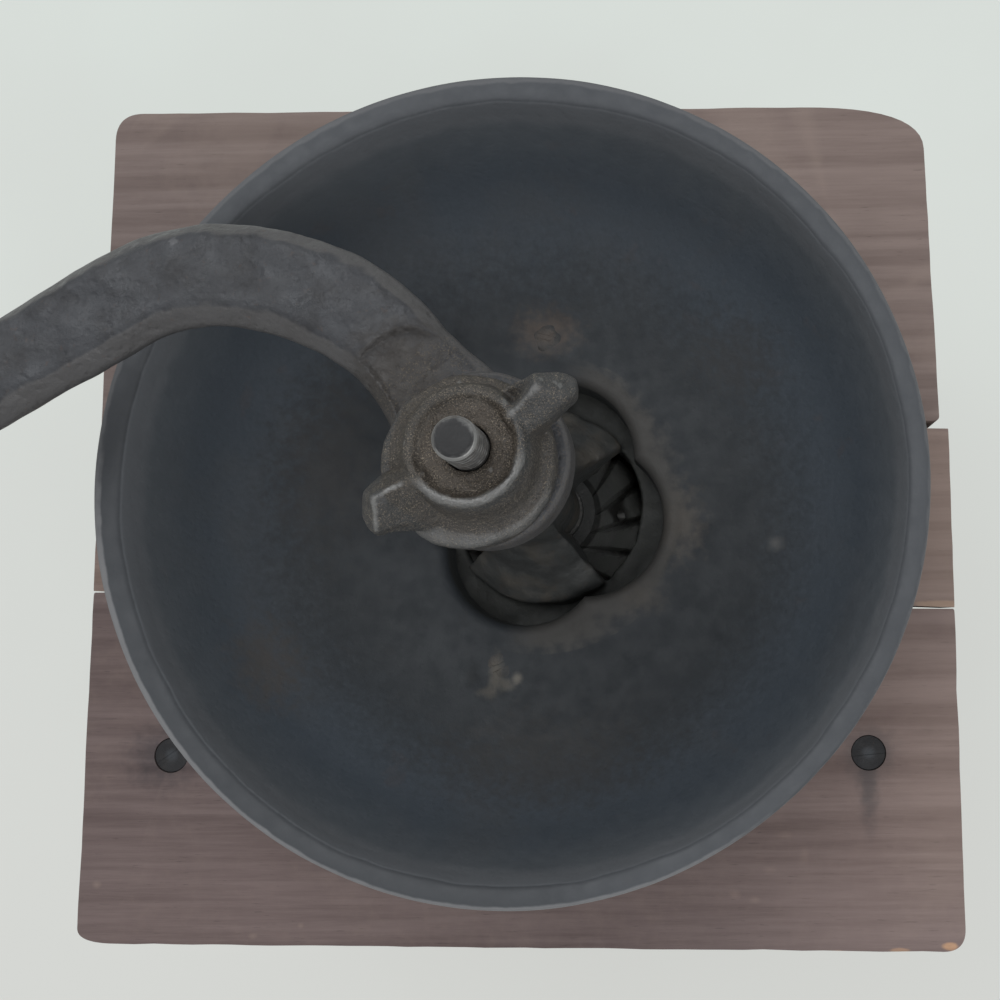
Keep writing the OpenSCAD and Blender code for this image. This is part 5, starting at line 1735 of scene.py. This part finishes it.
@dataclass(frozen=True)
class Ear:
    """One ear of the nut: its outline, its ridge and its faces, along it and across it."""

    trail: Curve
    lead: Curve
    crest: Curve
    line: Curve
    fall: tuple[float, float]
    tip: tuple[float, float, float, float, float]
    hollow: tuple[float, float, float] = (8.6, 3.2, 0.0)
    under: Curve = ((6.7, 4.0), (9.0, 4.2), (12.0, 5.4), (15.0, 6.9), (18.3, 7.8))
    fullness: float = 6.0
    sharp: float = 3.6

    def top(self, a: float, u: float) -> float:
        """Height of the ear's top over the nut's underside.

        Args:
            a: Distance from the axis along the ear.
            u: Distance across it, against the clock.

        Returns:
            The height, softly ridged where the ear's faces meet and rounded at its sides.
        """
        crest, line = through(self.crest, a), through(self.line, a)
        at, aside, deep = self.hollow
        scoop = deep * math.exp(-((a - at) / 2.4) ** 2 - ((u - aside) / 1.4) ** 2)
        trail = crest + self.fall[0] * (u - line)
        lead = crest - self.fall[1] * (u - line) - scoop
        a0, u0, high, out, side = self.tip
        tip = high - out * (a - a0) - side * (u - u0)
        level = 10 - math.log(sum(math.exp(-self.sharp * (h - 10))
                                  for h in (trail, lead, tip))) / self.sharp
        first, last, under = self.edges(a)
        across = min(abs(2 * (u - first) / max(last - first, 0.01) - 1), 1.0)
        full = (1 - across ** self.fullness) ** (1 / self.fullness)
        return under + 0.4 + max(level - under - 0.4, 0.2) * full

    def edges(self, a: float) -> tuple[float, float, float]:
        """Both edges across the ear, and the height of its underside, at a distance."""
        return through(self.trail, a), through(self.lead, a), through(self.under, a)


@dataclass
class EarNut:
    """The nut with its gritty dish and two ears that sweep forward."""

    low: float = 186.4
    bore: float = 3.4
    seat_radius: float = 4.6
    seat_depth: float = 2.6
    direction: float = 31.0
    voxel: float = 0.3
    ear_from: float = 6.7
    flange_shift: tuple[float, float] = (-1.1, -0.93)
    worn_side: float = 128.0
    body: Curve = (
        (12.6, 0.0), (12.95, 0.5), (13.0, 2.6), (12.85, 3.5), (12.45, 4.1), (11.9, 4.25),
        (11.3, 4.35), (10.7, 4.9), (10.2, 5.9), (9.8, 7.3), (9.4, 9.0), (8.95, 10.6), (8.6, 11.6),
        (8.1, 12.1), (7.6, 12.0), (7.25, 11.4), (6.95, 10.8), (6.4, 10.4), (5.2, 10.15),
        (4.2, 10.05))
    ears: tuple[Ear, Ear] = (
        Ear(trail=((6.7, -3.6), (10.0, -3.4), (13.4, -2.7), (15.5, -2.4), (17.3, -1.6),
                   (18.2, 0.2)),
            lead=((6.7, 5.2), (9.5, 5.0), (11.6, 4.6), (13.8, 4.1), (15.9, 3.1), (17.45, 2.0),
                  (18.2, 0.7)),
            crest=((6.7, 12.2), (7.9, 12.5), (11.0, 13.5), (14.1, 14.0), (18.2, 14.1)),
            line=((6.7, 0.2), (7.9, 0.3), (11.0, 1.1), (14.1, 1.7), (18.2, 1.4)),
            fall=(0.66, 0.55), tip=(13.4, 1.2, 13.9, 0.95, 0.25), hollow=(8.8, 2.9, 3.0)),
        Ear(trail=((6.7, -3.7), (10.8, -3.65), (12.6, -3.7), (14.5, -2.9), (15.5, -2.4),
                   (17.3, -0.7), (18.0, 0.5)),
            lead=((6.7, 6.6), (9.0, 6.3), (11.5, 5.6), (14.0, 4.6), (15.5, 4.2), (17.0, 3.9),
                  (17.6, 3.4), (18.05, 2.0)),
            crest=((6.7, 11.9), (10.1, 12.9), (11.8, 13.5), (14.1, 14.1), (18.25, 14.2)),
            line=((6.7, 0.4), (10.1, 0.2), (11.8, 0.1), (14.1, 0.2), (18.25, 0.0)),
            fall=(1.35, 1.1), tip=(14.1, 0.0, 14.0, 1.52, -0.15), sharp=5.0))

    def ear(self, name: str, turn: float, form: Ear) -> bpy.types.Object:
        """Makes one ear from its height over its plan.

        Args:
            name: The piece's name.
            turn: Its direction in degrees.
            form: Its form.

        Returns:
            The ear.
        """
        steps, across = 46, 30
        c, s = math.cos(math.radians(turn)), math.sin(math.radians(turn))
        rings = []
        for k in range(steps + 1):
            a = self.ear_from + (form.trail[-1][0] - self.ear_from) * k / steps
            first, last, under = form.edges(a)
            spans = [first + (last - first) * i / across for i in range(across + 1)]
            upper = [(u, form.top(a, u)) for u in spans]
            lower = [(u, under) for u in reversed(spans)]
            rings.append([(AXIS[0] + a * c - u * s, AXIS[1] + a * s + u * c, self.low + z)
                          for u, z in upper + lower])
        return new_piece(name, *ring_stack(rings))

    def shift_flange(self, nut: bpy.types.Object) -> None:
        """Moves the flange off the middle, as the casting has it."""
        for vertex in nut.data.vertices:
            spot = vertex.co * 1000 - Vector((*AXIS, self.low))
            away = math.hypot(spot.x, spot.y)
            share = min(max((away - 8.5) / 3.0, 0.0), 1.0) * min(max((8.0 - spot.z) / 3.5, 0.0),
                                                                1.0)
            vertex.co += Vector((*self.flange_shift, 0.0)) * (share * MM)
        nut.data.update()

    def wear_crest(self, nut: bpy.types.Object) -> None:
        """Wears the dish's crest down between the ears on one side."""
        for vertex in nut.data.vertices:
            spot = vertex.co * 1000 - Vector((*AXIS, self.low))
            turn = math.degrees(math.atan2(spot.y, spot.x)) - self.worn_side
            share = min(max((math.cos(math.radians(turn)) - 0.1) / 0.5, 0.0), 1.0)
            if spot.z > 10.2 and math.hypot(spot.x, spot.y) > 5.4:
                vertex.co.z -= (spot.z - 10.2) * 0.7 * share * MM
        nut.data.update()

    def build(self) -> None:
        """Builds the nut and dresses it."""
        profile = [(self.seat_radius, 0.0), *self.body, (self.bore, 10.0),
                   (self.bore, self.seat_depth), (self.seat_radius, self.seat_depth)]
        body = new_piece("nut_body", *lathe(profile, 120, (*AXIS, self.low), loop=True))
        ears = [self.ear(f"ear_{k}", self.direction + 180 * k, form)
                for k, form in enumerate(self.ears)]
        nut = recast(join_pieces("ear_nut_casting", [body, *ears]), self.voxel, 4)
        self.shift_flange(nut)
        self.wear_crest(nut)
        roughen(nut, [(5.0, 0.32), (1.8, 0.14), (0.9, 0.05)], 6.0,
                lambda p: min(max(p.z - self.low - 0.6, 0.0), 1.0) * (
                    1.0 if math.hypot(p.x - AXIS[0], p.y - AXIS[1]) > self.bore + 0.7 else 0.0))
        dress(nut, "nut", NUT_IRON.make(), ["ear_nut"], 60)


@dataclass
class Box:
    """The wooden box under the top board."""

    easing: float = 0.9

    def board(self, node: str, name: str, easing: float, wood: bpy.types.Material,
              slot: str = "box_wood", body: str = "case") -> None:
        """Makes one board with rounded edges from its node's outline.

        Args:
            node: The CAD node.
            name: The piece's name.
            easing: Reach of the rounding in millimetres.
            wood: Its material.
            slot: Not used.
            body: The body that it moves with.
        """
        piece = ease_edges(node_copy(node, name), easing, lambda a, b: (a - b).length > 5)
        dress(piece, body, wood, [node])

    def build(self) -> None:
        """Builds the box's boards and coats its nails and screws."""
        across, side = BOX_WOOD.make(), BOX_WOOD_SIDE.make()
        self.board("base_board", "base_plank", 1.0, across)
        self.board("side_wall_left", "box_side_left", 0.35, side)
        self.board("side_wall_right", "box_side_right", 0.35, side)
        self.board("back_wall", "box_back", 0.35, across)
        self.board("front_rail", "box_front_rail", 0.35, across)
        pale = PALE_WOOD_SIDE.make()
        self.board("guide_left", "guide_strip_left", 0.4, pale, "pale_wood")
        self.board("guide_right", "guide_strip_right", 0.4, pale, "pale_wood")
        coat(SCREW_STEEL.make(), "guide_nails", "corner_nails", "base_screws")


@dataclass
class Drawer(Box):
    """The drawer for the grounds, with its turned pull."""

    front: float = -77.0
    pull_height: float = 37.25
    pull_radius: float = 10.5
    pull_length: float = 19.0

    def pull_profile(self) -> list[tuple[float, float]]:
        """Radius and length of the pull's rings.

        Returns:
            The profile from the drawer's front to the tip.
        """
        r, h = self.pull_radius, self.pull_length
        knots = ((0.0, 0.62), (0.08, 0.62), (0.2, 0.49), (0.35, 0.47), (0.47, 0.70), (0.6, 0.94),
                 (0.7, 0.995), (0.82, 0.93), (0.92, 0.72), (0.98, 0.40), (1.0, 0.14))
        return [(r * through(knots, i / 36), h * i / 36) for i in range(37)]

    def build(self) -> None:
        """Builds the drawer's boards and pull and dresses them."""
        self.board("drawer_front", "drawer_face", 0.9, BOX_WOOD.make(), "box_wood", "drawer")
        pale, pale_side = PALE_WOOD.make(), PALE_WOOD_SIDE.make()
        for side in ("left", "right"):
            self.board(f"drawer_side_{side}", f"drawer_cheek_{side}", 0.4, pale_side,
                       "pale_wood", "drawer")
        self.board("drawer_back", "drawer_end", 0.4, pale, "pale_wood", "drawer")
        coat(pale, "drawer_bottom")
        points, faces = lathe(self.pull_profile(), 64)
        turned = [(p[0], self.front - p[2], self.pull_height + p[1]) for p in points]
        pull = new_piece("turned_pull", turned, faces)
        dress(pull, "drawer", PULL_WOOD.make(), ["drawer_pull"], 50)
        coat(SCREW_STEEL.make(), "drawer_nails", "drawer_pull_screw")


@dataclass
class Studio:
    """Floor, lamps, surroundings and the camera at the photograph's angle."""

    eye: Point = (37.5, -22.9, 349.3)
    turn: Point = (0.1090, 0.02765, -0.0083)
    lens_share: float = 1.1
    shift: float = -0.167
    room: Colour = (0.965, 0.985, 1.0)
    room_strength: float = 0.55
    floor_back: Colour = (0.714, 0.761, 0.725)
    floor_front: Colour = (0.690, 0.699, 0.672)
    own_tone: float = 0.75

    def camera(self) -> None:
        """Places the camera."""
        data = bpy.data.cameras.new("photo_camera")
        data.sensor_width = 36.0
        data.lens = self.lens_share * data.sensor_width
        data.shift_x = self.shift
        data.clip_start, data.clip_end = 0.01, 20.0
        camera = bpy.data.objects.new("photo_camera", data)
        axis = Vector(self.turn)
        camera.matrix_world = Matrix.Translation(Vector(self.eye) * MM) @ Matrix.Rotation(
            axis.length, 4, axis.normalized())
        bpy.context.scene.collection.objects.link(camera)
        bpy.context.scene.camera = camera

    def floor(self) -> None:
        """Lays the pale floor, whose tone the lamps set only in part."""
        piece = new_piece("floor", [(-2500, -2500, 0), (2500, -2500, 0), (2500, 2500, 0),
                                    (-2500, 2500, 0)], [(0, 1, 2, 3)])
        material = bpy.data.materials.new("floor_paper")
        material.use_nodes = True
        material.node_tree.nodes.clear()
        sheet = Sheet(material.node_tree)
        place = PLACE.use(sheet, Seed=(0, 0, 0))["Place"]
        depth = sheet.add("SeparateXYZ", {0: place}).outputs["Y"]
        colour = sheet.blend(sheet.span(depth, -180.0, 260.0), self.floor_front, self.floor_back)
        mottle = sheet.span(sheet.noise(place, 0.012, 3.0), 0.3, 0.7, 0.0, 0.25)
        colour = sheet.blend(mottle, colour, scaled(self.floor_front, 0.96))
        lit = sheet.add("BsdfDiffuse", {"Color": colour, "Roughness": 0.5})
        own = sheet.add("Emission", {"Color": colour, "Strength": 1.0})
        path = sheet.add("LightPath")
        seen = sheet.math("MAXIMUM", path.outputs["Is Camera Ray"], sheet.math(
            "MAXIMUM", path.outputs["Is Glossy Ray"], path.outputs["Is Transmission Ray"]))
        mix = sheet.add("MixShader", {0: sheet.math("MULTIPLY", seen, self.own_tone),
                                      1: lit.outputs[0], 2: own.outputs[0]})
        sheet.add("OutputMaterial", {"Surface": mix.outputs[0]})
        piece.data.materials.append(material)

    def lamp(self, name: str, spot: Point, size: float, power: float, colour: Colour) -> None:
        """Hangs one soft square lamp that faces the grinder.

        Args:
            name: Its name.
            spot: Its place in millimetres.
            size: Its side in millimetres.
            power: Its power in watts.
            colour: Its colour.
        """
        data = bpy.data.lights.new(name, "AREA")
        data.size = size * MM
        data.energy = power
        data.color = colour
        lamp = bpy.data.objects.new(name, data)
        lamp.location = Vector(spot) * MM
        aim = Vector((0, 0, 0.12)) - lamp.location
        lamp.rotation_euler = aim.to_track_quat("-Z", "Y").to_euler()
        bpy.context.scene.collection.objects.link(lamp)

    def build(self) -> None:
        """Sets up the whole stage."""
        scene = bpy.context.scene
        scene.view_settings.view_transform = "Standard"
        world = bpy.data.worlds.new("soft_room")
        world.use_nodes = True
        back = world.node_tree.nodes["Background"]
        back.inputs[0].default_value = (*self.room, 1.0)
        back.inputs[1].default_value = self.room_strength
        scene.world = world
        self.lamp("window", (600, -600, 1250), 800, 5.6, (0.99, 0.995, 1.0))
        self.lamp("skylight", (-450, 550, 1300), 1000, 7.6, (0.975, 0.99, 1.0))
        self.floor()
        self.camera()


def main() -> None:
    """Builds the scene piece by piece."""
    logging.basicConfig(level=logging.INFO, format="%(message)s")
    Studio().build()
    TopBoard().build()
    Hopper().build()
    Works().build()
    Spindle().build()
    Crank().build()
    EarNut().build()
    Box().build()
    Drawer().build()
    bpy.context.view_layer.update()


if __name__ == "__main__":
    main()
